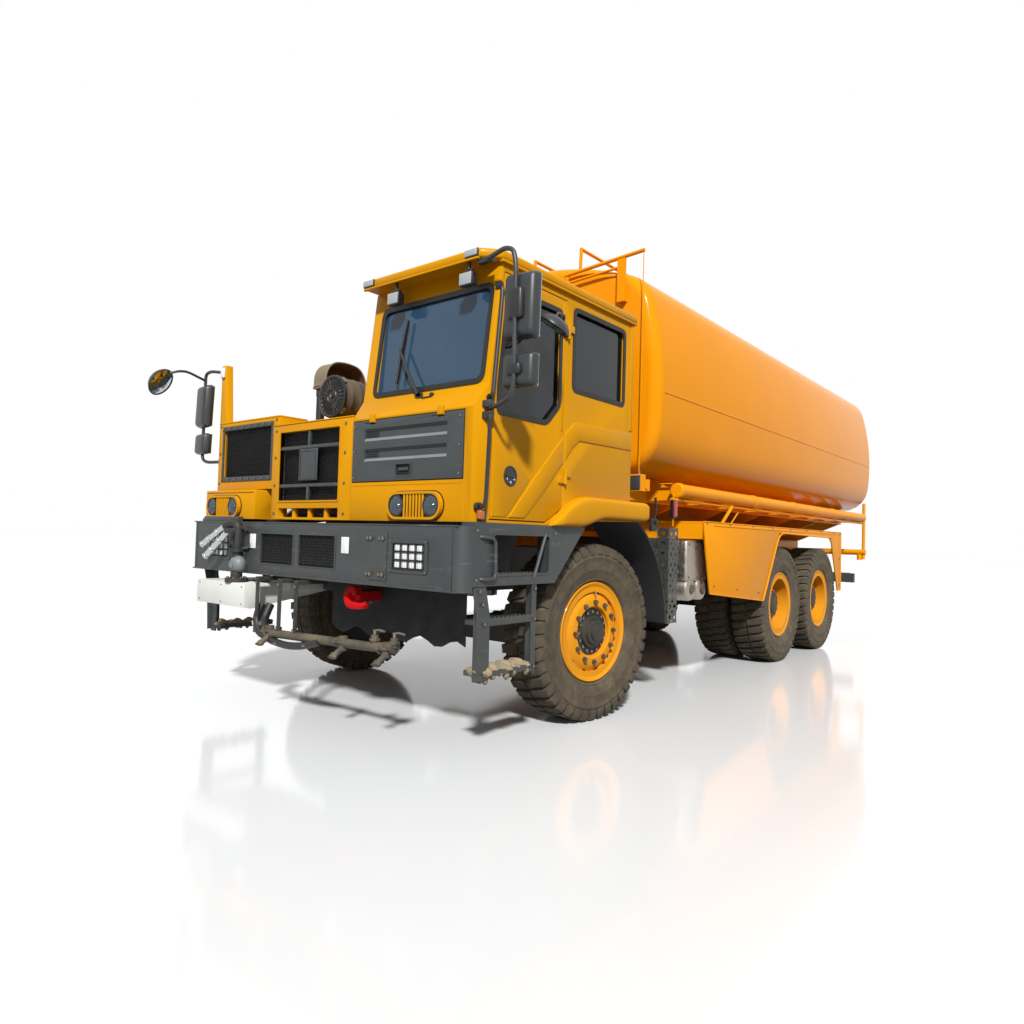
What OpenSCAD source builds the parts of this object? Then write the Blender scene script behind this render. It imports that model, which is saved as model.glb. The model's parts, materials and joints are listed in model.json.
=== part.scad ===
// Off-road water tanker truck, 6x4, with a half-width cab on its left side.
// Axes: the truck faces -Y, its left side is +X, Z is up and the wheels stand on z = 0.
// Inside the modules y = 0 is the front axle; place() moves that to the middle of the length.

/* [Wheels] */
// Radius of every tyre
tyre_r = 667; // [600:1:720]
// Width of a tyre
tyre_w = 374; // [330:1:400]
// Outer radius of the rim's flanges
rim_r = 368; // [340:1:390]
// Distance from the front axle to the first rear axle
wheelbase = 3944; // [3800:1:4800]
// Distance between the two rear axles
bogie_gap = 1496; // [1420:1:1700]
// Distance of the outer side face of the rear tyres from the centre line
rear_outer_x = 1581; // [1500:1:1700]
// Gap between the two tyres of a twin wheel
twin_gap = 72; // [40:1:120]

/* [Steering] */
// Distance of each kingpin from the centre line
kingpin_x = 1010; // [960:1:1040]
// Distance from the kingpin to the middle of the front tyre
wheel_offset = 362; // [340:1:400]
// How far the front wheels are turned as the truck stands, negative to its right
steer_rest = -6.3; // [-10:0.1:10]

/* [Frame] */
// Distance of the frame rails' outer faces from the centre line
rail_x = 470; // [430:1:500]
// Width of a rail's flanges
rail_w = 100; // [80:1:120]
// Height of the frame rails
rail_h = 320; // [260:1:340]
// Height of the rails' lower edge above the ground
rail_z = 960; // [900:1:1000]

/* [Cab] */
// Distance of the cab's left wall from the centre line
cab_left = 1585; // [1500:1:1600]
// Distance of the cab's right wall from the centre line
cab_right = 385; // [300:1:450]
// Front face of the cab's windscreen frame, ahead of the front axle
cab_front = 1400; // [1350:1:1440]
// Rear face of the cab behind the front axle
cab_rear = 330; // [300:1:450]
// Height of the cab's lower edge
cab_floor_z = 1452; // [1440:1:1470]
// Height of the cab's walls
cab_top_z = 3110; // [3000:1:3300]
// Thickness of the cab's walls and door
cab_wall = 55; // [40:1:70]
// Gap around the door
door_gap = 9; // [8:1:14]

/* [Front] */
// Front face of the nose and the middle grille ahead of the front axle
nose_front = 1500; // [1460:1:1540]
// Front face of the bumper ahead of the front axle
bumper_front = 1622; // [1600:1:1700]
// Half of the bumper's width
bumper_x = 1603; // [1590:1:1650]
// Height of the bumper's lower edge
bumper_z = 1024; // [980:1:1040]
// Height of the bumper
bumper_h = 402; // [360:1:402]
// Reach of the mirrors from the centre line on either side
mirror_reach = 1990; // [1960:1:2100]
// Reach of the front mirror ahead of the front axle
front_reach = 1990; // [1960:1:2100]

/* [Tank] */
// Half of the tank's width
tank_x = 1571; // [1450:1:1600]
// Height of the tank's top
tank_top_z = 3995; // [3700:1:4200]
// Height of the tank's flat bottom
tank_bottom_z = 1950; // [1900:1:2050]
// Front head of the tank behind the front axle
tank_front = 800; // [760:1:900]
// Length of the tank
tank_len = 7250; // [6800:1:8600]
// Radius of the tank's long edges
tank_edge_r = 380; // [300:1:450]
// Rear end of the truck behind the tank's rear head
rear_overhang = 260; // [240:1:320]

/* [Hidden] */
$fn = 48;
eps = 1;
seat_gap = 0.3;
run_gap = 0.5;

// Places along the truck, with y = 0 at the front axle
first_y = wheelbase;
second_y = wheelbase + bogie_gap;
tank_rear = tank_front + tank_len;
rear_reach = tank_rear + rear_overhang;
middle_y = (rear_reach - front_reach) / 2;
frame_front = bumper_front - 190;
frame_rear = tank_rear - 120;
rail_top = rail_z + rail_h;
wheel_z = tyre_r;
front_wheel_x = kingpin_x + wheel_offset;
twin_pitch = tyre_w + twin_gap;
outer_twin_x = rear_outer_x - tyre_w / 2;
twin_x = outer_twin_x - twin_pitch / 2;
nose_top_z = 2165;
sill_z = 2310;
arch_z = cab_floor_z + 198;
arch_start_y = -760;
arch_end_y = -390;
tank_mid_z = 2660;

// ---------------------------------------------------------------- helpers

// Everything in the part's own frame: middle of the length, centre line, ground
module place() {
    translate([0, -middle_y, 0]) children();
}

// A block between two opposite corners
module block(low, high) {
    translate(low) cube(high - low);
}

// A round bar from one point to another
module bar(from, to, r) {
    run = to - from;
    length = norm(run);
    translate(from)
        rotate([0, acos(run[2] / length), atan2(run[1], run[0])])
            cylinder(h = length, r = r);
}

// A bent tube through a list of points, with ball-shaped bends
module tube(points, r) {
    for (i = [0 : len(points) - 2]) bar(points[i], points[i + 1], r);
    for (i = [1 : 1 : len(points) - 2]) translate(points[i]) sphere(r = r * 1.15);
}

// A prism along X between two x values, its outline in y and z
module prism_x(x0, x1, outline) {
    translate([x0, 0, 0]) rotate([90, 0, 90]) linear_extrude(height = x1 - x0) polygon(outline);
}

// A prism along Y between two y values, its outline in x and z
module prism_y(y0, y1, outline) {
    translate([0, y1, 0]) rotate([90, 0, 0]) linear_extrude(height = y1 - y0) polygon(outline);
}

// A prism along Z between two z values, its outline in x and y
module prism_z(z0, z1, outline) {
    translate([0, 0, z0]) linear_extrude(height = z1 - z0) polygon(outline);
}

// A disc or ring on an axle along X, from one x value to another, its middle at [y, z]
module disc_x(x0, x1, r, hole = 0, at = [0, 0]) {
    translate([x0, at[0], at[1]]) rotate([0, 90, 0]) difference() {
        cylinder(h = x1 - x0, r = r);
        if (hole > 0) translate([0, 0, -eps]) cylinder(h = x1 - x0 + 2 * eps, r = hole);
    }
}

// The children and their copy on the other side of the truck
module both_sides() {
    children();
    mirror([1, 0, 0]) children();
}

// ---------------------------------------------------------------- wheels

bead_r = rim_r - 50;
rim_half = 126;
flange_w = 20;
bead_gap = seat_gap;
spindle_r = 50;
hub_bore_r = spindle_r + run_gap;

// Half outline of a tyre as [radius, place across the tread]
function tyre_half(side) = [
    [bead_r + bead_gap, side * rim_half],
    [rim_r + 4, side * rim_half],
    [rim_r + 32, side * (tyre_w / 2 - 22)],
    [rim_r + 132, side * tyre_w / 2],
    [tyre_r - 67, side * (tyre_w / 2 - 4)],
    [tyre_r - 12, side * (tyre_w / 2 - 22)],
    [tyre_r, side * (tyre_w / 2 - 47)]
];

function backwards(list) = [for (i = [len(list) - 1 : -1 : 0]) list[i]];

// A tyre round an axle along X, its middle at x = 0
module tyre() {
    rotate([0, 90, 0]) rotate_extrude($fn = 96)
        polygon(concat(tyre_half(-1), backwards(tyre_half(1))));
}

// The rim's barrel and its two flanges
module rim_barrel() {
    rotate([0, 90, 0]) rotate_extrude($fn = 96) polygon([
        [bead_r - 18, -rim_half - flange_w], [rim_r, -rim_half - flange_w],
        [rim_r, -rim_half - bead_gap], [bead_r, -rim_half - bead_gap],
        [bead_r, rim_half + bead_gap], [rim_r, rim_half + bead_gap],
        [rim_r, rim_half + flange_w], [bead_r - 18, rim_half + flange_w]
    ]);
}

// Front wheel disc, bulging outwards round an open hub; +X is the outer side
module front_rim() {
    rim_barrel();
    rotate([0, 90, 0]) rotate_extrude($fn = 96) polygon([
        [bead_r - 10, 96], [bead_r - 10, 120], [250, 146], [186, 146], [186, 126], [246, 126]
    ]);
    disc_x(-60, 126, 187, hub_bore_r);
    disc_x(126, 160, 80, hub_bore_r);
    disc_x(158, 178, 62);
}

// Twin rims with their discs meeting on one hub; +X is the outer side
module twin_rims() {
    for (side = [-1, 1]) {
        translate([side * twin_pitch / 2, 0, 0]) rim_barrel();
        disc_x(min(0, side * 100), max(0, side * 100), bead_r - 10, hub_bore_r);
    }
    disc_x(98, 290, 165, hub_bore_r);
    disc_x(288, 306, 95);
}

// A body-side copy: the left one as drawn, the right one mirrored
module on_side(side) {
    if (side > 0) children();
    else mirror([1, 0, 0]) children();
}

// Everything that steers turns about its kingpin
module steered(side, angle = steer_rest) {
    translate([side * kingpin_x, 0, 0]) rotate([0, 0, angle])
        translate([-side * kingpin_x, 0, 0]) children();
}

module front_tyre(side) {
    color([0.33, 0.29, 0.25]) steered(side)
        on_side(side) translate([front_wheel_x, 0, wheel_z]) tyre();
}

module front_wheel_rim(side) {
    color([0.96, 0.61, 0.07]) steered(side)
        on_side(side) translate([front_wheel_x, 0, wheel_z]) front_rim();
}

module rear_tyres(y, side) {
    color([0.33, 0.29, 0.25]) on_side(side) for (row = [-1, 1])
        translate([twin_x + row * twin_pitch / 2, y, wheel_z]) tyre();
}

module rear_rims(y, side) {
    color([0.96, 0.61, 0.07]) on_side(side) translate([twin_x, y, wheel_z]) twin_rims();
}

module tyre_front_left() { front_tyre(1); }
module tyre_front_right() { front_tyre(-1); }
module rim_front_left() { front_wheel_rim(1); }
module rim_front_right() { front_wheel_rim(-1); }
module tyres_first_left() { rear_tyres(first_y, 1); }
module tyres_first_right() { rear_tyres(first_y, -1); }
module tyres_second_left() { rear_tyres(second_y, 1); }
module tyres_second_right() { rear_tyres(second_y, -1); }
module rims_first_left() { rear_rims(first_y, 1); }
module rims_first_right() { rear_rims(first_y, -1); }
module rims_second_left() { rear_rims(second_y, 1); }
module rims_second_right() { rear_rims(second_y, -1); }

// ---------------------------------------------------------------- running gear

rail_y0 = -frame_front;
spring_x = 560;
spring_w = 90;
axle_z = 600;
pin_bore_r = 25;

cross_member_w = 180;
cross_member_ys = [rail_y0, 900, 2300, first_y + bogie_gap / 2 - 90, 6500];
bay_x = rail_x - rail_w - seat_gap;

// Frame rails, cross members, cab brackets and the rear towing jaw
module chassis_frame() {
    color([0.16, 0.17, 0.18]) {
        both_sides() {
            block([rail_x - rail_w, rail_y0, rail_z], [rail_x, frame_rear, rail_top]);
            block([rail_x + seat_gap, -1420, rail_top - 100], [1480, -1310, cab_floor_z]);
            block([rail_x - rail_w, 190, rail_top + seat_gap], [rail_x, 290, arch_z]);
            block([rail_x - 10, 190, arch_z - 90], [1400, 290, arch_z]);
        }
        for (y = cross_member_ys)
            block([-bay_x, y, rail_z + 60], [bay_x, y + cross_member_w, rail_top - 60]);
        difference() {
            union() {
                block([-bay_x, frame_rear - cross_member_w, rail_z + 60], [bay_x, frame_rear, rail_top - 60]);
                block([-140, frame_rear - 5, rail_z + 40], [140, frame_rear + 60, rail_top - 40]);
                for (z = [rail_z + 70, rail_top - 110])
                    block([-70, frame_rear + 55, z], [70, frame_rear + 190, z + 40]);
            }
            translate([0, frame_rear + 130, rail_z]) cylinder(h = rail_h, r = pin_bore_r);
        }
    }
}

engine_x = rail_x - rail_w - 10;
gearbox_end = 800;

// Engine, gearbox and radiator as one plain block
module engine_block() {
    color([0.2, 0.2, 0.21]) {
        block([-engine_x, -1150, 900], [engine_x - 50, 180, 1900]);
        block([-500, -1380, 1500], [310, -1250, 2080]);
        block([-engine_x, -1251, 1600], [200, -1149, 1900]);
        block([-230, 179, 880], [230, gearbox_end, 1270]);
    }
}

// Front axle beam with a forked end at each kingpin
module front_axle() {
    color([0.14, 0.14, 0.15]) both_sides() {
        block([-eps, -70, axle_z - 110], [kingpin_x - 120, 70, axle_z + 30]);
        block([kingpin_x - 170, -60, axle_z - 60], [kingpin_x - 100, 60, axle_z + 200]);
        for (z = [axle_z - 60, axle_z + 140])
            difference() {
                union() {
                    block([kingpin_x - 120, -60, z], [kingpin_x, 60, z + 60]);
                    translate([kingpin_x, 0, z]) cylinder(h = 60, r = 60);
                }
                translate([kingpin_x, 0, z - eps]) cylinder(h = 60 + 2 * eps, r = 30 + run_gap);
            }
    }
}

arm_back = 300;
arm_z = axle_z - 95;

// Knuckle with its kingpin, the wheel's spindle and the steering arm, before it is turned
module knuckle_shape() {
    translate([kingpin_x, 0, axle_z + 0.5]) cylinder(h = 139, r = 75);
    translate([kingpin_x, 0, axle_z - 80]) cylinder(h = 300, r = 30);
    translate([kingpin_x, 0, axle_z - 90]) cylinder(h = 24, r = 62);
    translate([0, 0, wheel_z]) {
        disc_x(kingpin_x, front_wheel_x - 70, 60);
        disc_x(kingpin_x + 60, front_wheel_x + 150, spindle_r);
    }
    block([kingpin_x - 40, -40, axle_z - 115], [kingpin_x + 40, 40, axle_z - 75]);
    block([kingpin_x - 35, -40, arm_z - 20], [kingpin_x + 35, arm_back + 10, arm_z + 20]);
}

module knuckle(side) {
    color([0.18, 0.18, 0.19]) steered(side) difference() {
        on_side(side) knuckle_shape();
        translate([side * kingpin_x, arm_back - 25, arm_z - 60]) cylinder(h = 120, r = 12 + run_gap);
    }
}

module knuckle_left() { knuckle(1); }
module knuckle_right() { knuckle(-1); }

// A point on a steering arm as the truck stands
function arm_eye(side) = [
    side * kingpin_x - (arm_back - 25) * sin(steer_rest),
    (arm_back - 25) * cos(steer_rest),
    arm_z - 55
];

// Tie rod with a ball pin at each end, standing in the eyes of the steering arms
module tie_rod() {
    color([0.2, 0.2, 0.21]) {
        bar(arm_eye(-1), arm_eye(1), 18);
        for (side = [-1, 1]) translate(arm_eye(side)) {
            translate([0, 0, -28]) cylinder(h = 56, r = 32);
            cylinder(h = 80, r = 12);
        }
    }
}

// Leaf springs: front packs over the axle, rear packs on a trunnion between the two axles
module leaf_pack(y_mid, half_len, z, leaves, leaf) {
    for (i = [0 : leaves - 1])
        block([spring_x - spring_w / 2, y_mid - half_len * (1 - i / leaves), z - (i + 1) * leaf],
              [spring_x + spring_w / 2, y_mid + half_len * (1 - i / leaves), z - i * leaf]);
}

rear_leaf_z = 1010;
leaf_t = 22;

module suspension() {
    color([0.13, 0.13, 0.14]) both_sides() {
        leaf_pack(0, 620, axle_z + 126, 6, 16);
        for (y = [-600, 600])
            block([rail_x, y - 40, axle_z + 126], [spring_x + spring_w / 2, y + 40, rail_z + 60]);
        leaf_pack(first_y + bogie_gap / 2, bogie_gap / 2 + 60, rear_leaf_z, 8, leaf_t);
        trunnion_y = first_y + bogie_gap / 2;
        block([rail_x, trunnion_y - 110, rear_leaf_z],
              [spring_x + spring_w / 2, trunnion_y + 110, rail_z + 130]);
        block([rail_x - 90, trunnion_y - 90, 740],
              [spring_x + spring_w / 2, trunnion_y + 90, rear_leaf_z - 8 * leaf_t]);
    }
}

shaft_r = 50;
shaft_z = 950;
shaft_tilt = atan2(shaft_z - wheel_z - 60, first_y - 225 - gearbox_end - shaft_r);

// Two driven axles: housings, end spindles and the shafts that join them
module rear_axles() {
    color([0.15, 0.15, 0.16]) {
        for (y = [first_y, second_y]) translate([0, y, wheel_z]) {
            sphere(r = 240);
            disc_x(-twin_x + 110, twin_x - 110, 105);
            both_sides() block([spring_x - 45, -38, 0], [spring_x + 45, 38, rear_leaf_z - leaf_t - wheel_z]);
            disc_x(-twin_x - 270, twin_x + 270, spindle_r);
        }
        shaft_start = [0, gearbox_end + shaft_r * sin(shaft_tilt) + seat_gap, shaft_z];
        bar(shaft_start, [0, first_y - 225, wheel_z + 60], shaft_r);
        bar([0, first_y + 200, wheel_z], [0, second_y - 200, wheel_z], 45);
    }
}

// ---------------------------------------------------------------- front end

bumper_wrap = 92;
bumper_t = 16;
bumper_top = bumper_z + bumper_h;
mesh_xs = [-530, -34];
mesh_w = 427;

// Bumper with rounded ends, two mesh windows and a square lamp hole, hollow from behind
module front_bumper() {
    y0 = -bumper_front;
    y1 = y0 + bumper_wrap;
    color([0.31, 0.34, 0.36]) difference() {
        translate([0, 0, bumper_z]) linear_extrude(height = bumper_h) difference() {
            union() {
                translate([-bumper_x + bumper_wrap, y0]) square([2 * (bumper_x - bumper_wrap), bumper_wrap]);
                for (side = [-1, 1]) translate([side * (bumper_x - bumper_wrap), y1]) circle(r = bumper_wrap);
            }
            translate([-bumper_x - eps, y1]) square([2 * bumper_x + 2 * eps, bumper_wrap + eps]);
        }
        block([-bumper_x + bumper_wrap, y0 + bumper_t, bumper_z + bumper_t],
              [bumper_x - bumper_wrap, y1 + eps, bumper_top - bumper_t]);
        for (x = mesh_xs) block([x, y0 - eps, 1112], [x + mesh_w, y1, 1340]);
        block([981, y0 - eps, 1139], [1292, y1, 1313]);
    }
    color([0.31, 0.34, 0.36]) for (x = [-420, 420])
        block([x - 50, y0 + bumper_t - eps, bumper_z + bumper_t - eps], [x + 50, rail_y0, bumper_top - 130]);
    color([0.1, 0.1, 0.1]) for (x = mesh_xs)
        block([x - 5, y0 + bumper_t - eps, 1107], [x + mesh_w + 5, y0 + bumper_t + 5, 1345]);
    color([0.1, 0.1, 0.1]) block([976, y0 + bumper_t - eps, 1134], [1297, y0 + bumper_t + 12, 1318]);
}

hook_at = [rail_x - 15, rail_y0 - 98, 915];
hook_t = 55;
hook_r = 82;

// Red towing hook, its eye upright under the bumper
module tow_hook() {
    color([0.8, 0.08, 0.06]) difference() {
        union() {
            translate(hook_at) rotate([-90, 0, 0]) cylinder(h = hook_t, r = hook_r);
            block(
                [hook_at[0] - 45, hook_at[1] + hook_t - eps, 880],
                [hook_at[0] + 45, rail_y0 + 150, rail_z - seat_gap]
            );
        }
        translate(hook_at - [0, 20, 0]) rotate([-90, 0, 0]) cylinder(h = hook_t + 19, r = 32);
    }
}

// ---------------------------------------------------------------- cab

screen_lean = 85;
nose_x = cab_left - 45;
door_front_y = -(cab_front - 22);
door_rear_y = -600;
door_top_z = 3048;
door_low_z = cab_floor_z + 16;
door_cut_z = cab_floor_z + 118;
hinge_x = cab_left + 15;
hinge_y = door_rear_y + 8;
hinge_r = 11;
hinge_zs = [1800, 2827];
knuckle_h = 48;

// Side outline of the cab, pulled in by a wall's thickness for the inside
function cab_outline(t) = [
    [-nose_front + t, cab_floor_z + t],
    [-nose_front + t, nose_top_z - t * 0.4],
    [-cab_front - 10 + t, sill_z - t * 0.4],
    [-cab_front + screen_lean + t, cab_top_z + (t > 0 ? eps : 0)],
    [cab_rear - t, cab_top_z + (t > 0 ? eps : 0)],
    [cab_rear - t, arch_z + t],
    [arch_end_y, arch_z + t],
    [arch_start_y, cab_floor_z + t]
];

// The door's outline in y and z, with a gap all round when it is the door itself
function door_outline(gap) = [
    [door_front_y + gap, door_low_z + gap],
    [arch_start_y - 40, door_low_z + gap],
    [door_rear_y - gap, door_cut_z + gap],
    [door_rear_y - gap, door_top_z - gap],
    [door_front_y + screen_lean + gap, door_top_z - gap],
    [door_front_y + gap, sill_z]
];

// The door's window, its lower rear corner cut off
function door_window(gap) = [
    [-1322 + gap, 2150 + gap], [-815 + gap * 0.4, 2150 + gap], [-668 - gap, 2295 + gap * 0.4],
    [-668 - gap, 2950 - gap], [-1322 + screen_lean * 0.8 + gap, 2950 - gap], [-1322 + gap, sill_z]
];

windscreen = [[500, 2345], [1515, 2345], [1515, 2965], [500, 2965]];
side_window_y = [-505, 192];
side_window_z = [2430, 3010];
rear_window_x = [640, 1330];
rear_window_z = [2400, 2950];
panel_x = [400, 1466];
panel_z = [1722, 2146];
panel_gap = 7;
panel_t = 26;
panel_hinge = [-nose_front - 6, panel_z[1] - 10];
panel_hinge_r = 8;
panel_hinge_xs = [580, 1240];

module windscreen_hole(gap) {
    prism_y(-cab_front - 60, -cab_front + screen_lean + cab_wall + 60, [
        [windscreen[0][0] + gap, windscreen[0][1] + gap], [windscreen[1][0] - gap, windscreen[1][1] + gap],
        [windscreen[2][0] - gap, windscreen[2][1] - gap], [windscreen[3][0] + gap, windscreen[3][1] - gap]
    ]);
}

// Cab body: walls, floor, nose and pillars, open at the door, the windows and the service panel
module cab_shell() {
    color([0.9, 0.65, 0.05]) {
        difference() {
            prism_x(cab_right, cab_left, cab_outline(0));
            prism_x(cab_right + cab_wall, cab_left - cab_wall, cab_outline(cab_wall));
            prism_z(cab_floor_z - eps, cab_top_z + eps, [
                [nose_x, -nose_front - eps], [cab_left + eps, -nose_front - eps], [cab_left + eps, -cab_front]
            ]);
            prism_x(cab_left - cab_wall - eps, cab_left + eps, door_outline(0));
            windscreen_hole(0);
            for (x = [cab_left - cab_wall / 2, cab_right + cab_wall / 2])
                block([x - cab_wall, side_window_y[0], side_window_z[0]],
                      [x + cab_wall, side_window_y[1], side_window_z[1]]);
            block([cab_right - eps, -1250, 2420], [cab_right + cab_wall + eps, -650, 2950]);
            block([rear_window_x[0], cab_rear - cab_wall - eps, rear_window_z[0]],
                  [rear_window_x[1], cab_rear + eps, rear_window_z[1]]);
            block([panel_x[0] - panel_gap, -nose_front - eps, panel_z[0] - panel_gap],
                  [panel_x[1] + panel_gap, -nose_front + panel_t + 6, panel_z[1] + panel_gap]);
        }
        for (z = hinge_zs) {
            translate([hinge_x, hinge_y, z]) cylinder(h = knuckle_h, r = hinge_r);
            block([cab_left - 2, hinge_y, z], [hinge_x, hinge_y + 70, z + knuckle_h]);
        }
        for (x = panel_hinge_xs) {
            disc_x(x + 0.5, x + 50, panel_hinge_r, at = panel_hinge);
            block([x + 0.5, -nose_front - 14, panel_hinge[1]], [x + 50, -nose_front + 5, panel_z[1] + 40]);
        }
    }
}

roof_edge = 20;

// Roof with a visor in front and a gutter along the side
module cab_roof() {
    color([0.9, 0.65, 0.05]) prism_z(cab_top_z, cab_top_z + 66, [
        [cab_right - 4, -cab_front - 50], [cab_left - 90, -cab_front - 50], [cab_left + roof_edge, -cab_front + 60],
        [cab_left + roof_edge, cab_rear + 33], [cab_right - 4, cab_rear + 33]
    ]);
}

// Round look-down mirror on the door
down_mirror = [1765, -1000, 2755];
down_mirror_r = 85;

// Door hinged at its rear edge, as thick as the wall, with the look-down mirror on its arm
module cab_door() {
    color([0.9, 0.65, 0.05]) {
        difference() {
            prism_x(cab_left - cab_wall, cab_left, door_outline(door_gap));
            prism_x(cab_left - cab_wall - eps, cab_left + eps, door_window(0));
            translate([cab_left - 14, -1190, 1755]) rotate([0, 90, 0]) cylinder(h = 20, r = 62);
        }
        for (z = hinge_zs) {
            translate([hinge_x, hinge_y, z - 0.5 - knuckle_h]) cylinder(h = knuckle_h, r = hinge_r);
            block([cab_left + 3, hinge_y - 70, z - 0.5 - knuckle_h], [hinge_x, hinge_y, z - 0.5]);
            block(
                [cab_left - 2, hinge_y - 70, z - 0.5 - knuckle_h],
                [hinge_x, door_rear_y - door_gap, z - 0.5]
            );
        }
        translate([cab_left - 15, -1190, 1755]) rotate([0, 90, 0]) cylinder(h = 12, r = 20);
        bar([cab_left - 5, -638, 2880], [down_mirror[0], down_mirror[1], down_mirror[2] + 60], 9);
        translate(down_mirror) sphere(r = down_mirror_r);
        translate([cab_left - 4, -1190, 1755]) block([0, -45, -14], [3, 45, 14]);
    }
}

glass_t = 8;

module door_glass() {
    color([0.15, 0.2, 0.25, 0.6])
        prism_x(cab_left - cab_wall / 2, cab_left - cab_wall / 2 + glass_t, door_window(seat_gap));
}

// Place of the leaning windscreen's front face at a height
function screen_y(z) = -cab_front + 14 + screen_lean * (z - sill_z) / (cab_top_z - sill_z);

// Fixed panes: windscreen, both rear side windows, right window and rear window
module cab_glass() {
    color([0.15, 0.2, 0.25, 0.6]) {
        intersection() {
            windscreen_hole(seat_gap);
            prism_x(cab_right, cab_left, [
                [screen_y(sill_z), sill_z], [screen_y(sill_z) + glass_t, sill_z],
                [screen_y(cab_top_z) + glass_t, cab_top_z], [screen_y(cab_top_z), cab_top_z]
            ]);
        }
        for (x = [cab_left - cab_wall / 2, cab_right + cab_wall / 2])
            block([x - glass_t / 2, side_window_y[0] + seat_gap, side_window_z[0] + seat_gap],
                  [x + glass_t / 2, side_window_y[1] - seat_gap, side_window_z[1] - seat_gap]);
        block([cab_right + 20, -1250 + seat_gap, 2420 + seat_gap],
              [cab_right + 20 + glass_t, -650 - seat_gap, 2950 - seat_gap]);
        block([rear_window_x[0] + seat_gap, cab_rear - 35, rear_window_z[0] + seat_gap],
              [rear_window_x[1] - seat_gap, cab_rear - 35 + glass_t, rear_window_z[1] - seat_gap]);
    }
}

seat_x = 1010;

// Driver's seat on a pedestal
module driver_seat() {
    color([0.12, 0.12, 0.13]) {
        block([seat_x - 160, -330, arch_z + cab_wall], [seat_x + 160, 0, arch_z + 240]);
        block([seat_x - 260, -480, arch_z + 240], [seat_x + 260, 40, arch_z + 370]);
        prism_x(seat_x - 250, seat_x + 250, [
            [10, arch_z + 365], [150, arch_z + 365], [250, arch_z + 1050], [150, arch_z + 1050]
        ]);
    }
}

wheel_centre = [seat_x, -900, 2330];

// Steering wheel and its column down to the dashboard's foot
column_len = 460;

module on_column() {
    translate(wheel_centre) rotate([-32, 0, 0]) children();
}

module steering_wheel() {
    color([0.08, 0.08, 0.09]) {
        on_column() {
            rotate_extrude($fn = 64) translate([215, 0]) circle(r = 17, $fn = 24);
            cylinder(h = 45, r = 55, center = true);
            for (a = [0, 120, 240]) rotate([0, 0, a + 90]) translate([40, -17, -9]) cube([162, 34, 18]);
            translate([0, 0, -column_len]) cylinder(h = column_len, r = 35);
        }
    }
}

// Dashboard under the windscreen
module dashboard() {
    color([0.1, 0.1, 0.11]) difference() {
        prism_x(cab_right + cab_wall, cab_left - cab_wall - 15, [
            [-nose_front + cab_wall, 1760], [-nose_front + cab_wall, 2080], [-1310, 2270], [-1180, 2270],
            [-1100, 2120], [-1100, 1980], [-1240, 1760]
        ]);
        on_column() translate([0, 0, -column_len - 5]) cylinder(h = column_len, r = 35 + seat_gap);
    }
}

panel_slot_x = [530, 1326];
panel_slot_z = [1865, 2005];
panel_slot_h = 80;

// Grey louvred service panel in the nose, hinged along its top edge
module service_panel() {
    panel_y = -nose_front;
    color([0.31, 0.34, 0.36]) difference() {
        union() {
            block([panel_x[0], panel_y - 6, panel_z[0]], [panel_x[1], panel_y + panel_t - 8, panel_z[1]]);
            for (x = panel_hinge_xs) disc_x(x - 50, x, panel_hinge_r, at = panel_hinge);
        }
        for (z = panel_slot_z)
            block([panel_slot_x[0], panel_y - 7, z], [panel_slot_x[1], panel_y + 4, z + panel_slot_h]);
        block([857, panel_y - 7, 1752], [1004, panel_y + 10, 1832]);
        for (x = panel_hinge_xs)
            block([x, panel_y - 20, panel_z[1] - 28], [x + 58, panel_y + panel_t, panel_z[1] + eps]);
    }
}

grille_left = -600;
grille_right = cab_right - 5;

// Middle grille: yellow frame, mesh plate and cross bars with a bare badge place
module middle_grille() {
    y0 = -nose_front;
    color([0.9, 0.65, 0.05]) difference() {
        block([grille_left, y0, cab_floor_z], [grille_right, y0 + 80, 2195]);
        block([-500, y0 - eps, 1597], [245, y0 + 81, 2132]);
        block([-500, y0 - eps, 1470], [245, y0 + 81, 1540]);
    }
    color([0.1, 0.1, 0.1]) block([-500, y0 + 50, 1597], [245, y0 + 56, 2132]);
    color([0.25, 0.26, 0.27]) for (z = [1690, 1865, 2040])
        block([-500, y0 + 18, z - 14], [245, y0 + 51, z + 14]);
    color([0.31, 0.34, 0.36]) block([-240, y0 + 8, 1745], [20, y0 + 19, 1985]);
    color([0.9, 0.65, 0.05]) for (x = [-330, -130, 70])
        block([x - 12, y0 + 20, 1470], [x + 12, y0 + 60, 1540]);
}

tower_left = -1522;
tower_right = grille_left;
tower_y = -1450;
tower_top = 2285;
post_w = 112;

// Right-hand hood: framed side grille, lamp post, deck and engine cover behind it
module right_hood() {
    color([0.9, 0.65, 0.05]) {
        difference() {
            block([tower_left, tower_y, 1700], [tower_right, tower_y + 260, tower_top]);
            block([-1446, tower_y - eps, 1788], [-704, tower_y + 230, 2235]);
        }
        block([tower_left, tower_y, tower_top - eps], [tower_left + post_w, tower_y + 60, 2800]);
        block([-1530, -1540, 1452], [-770, -1300, 1690]);
        block([-1520, tower_y + 60, 1640], [tower_right, tower_y + 240, 1701]);
        block([-cab_left, tower_y + 240, arch_z], [tower_right, cab_rear, arch_z + 50]);
        difference() {
            block([tower_right - 2, -1300, arch_z], [cab_right - 8, 420, 2150]);
            block([tower_right + 38, -1301, 1600], [cab_right - 48, 380, 2110]);
        }
    }
    color([0.1, 0.1, 0.1]) block([-1446, tower_y + 40, 1788], [-704, tower_y + 46, 2235]);
}

left_lamp = [1060, -nose_front, 1553];
right_lamp = [-1250, -1540, 1553];
lamp_w = 500;
lamp_h = 176;

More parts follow.
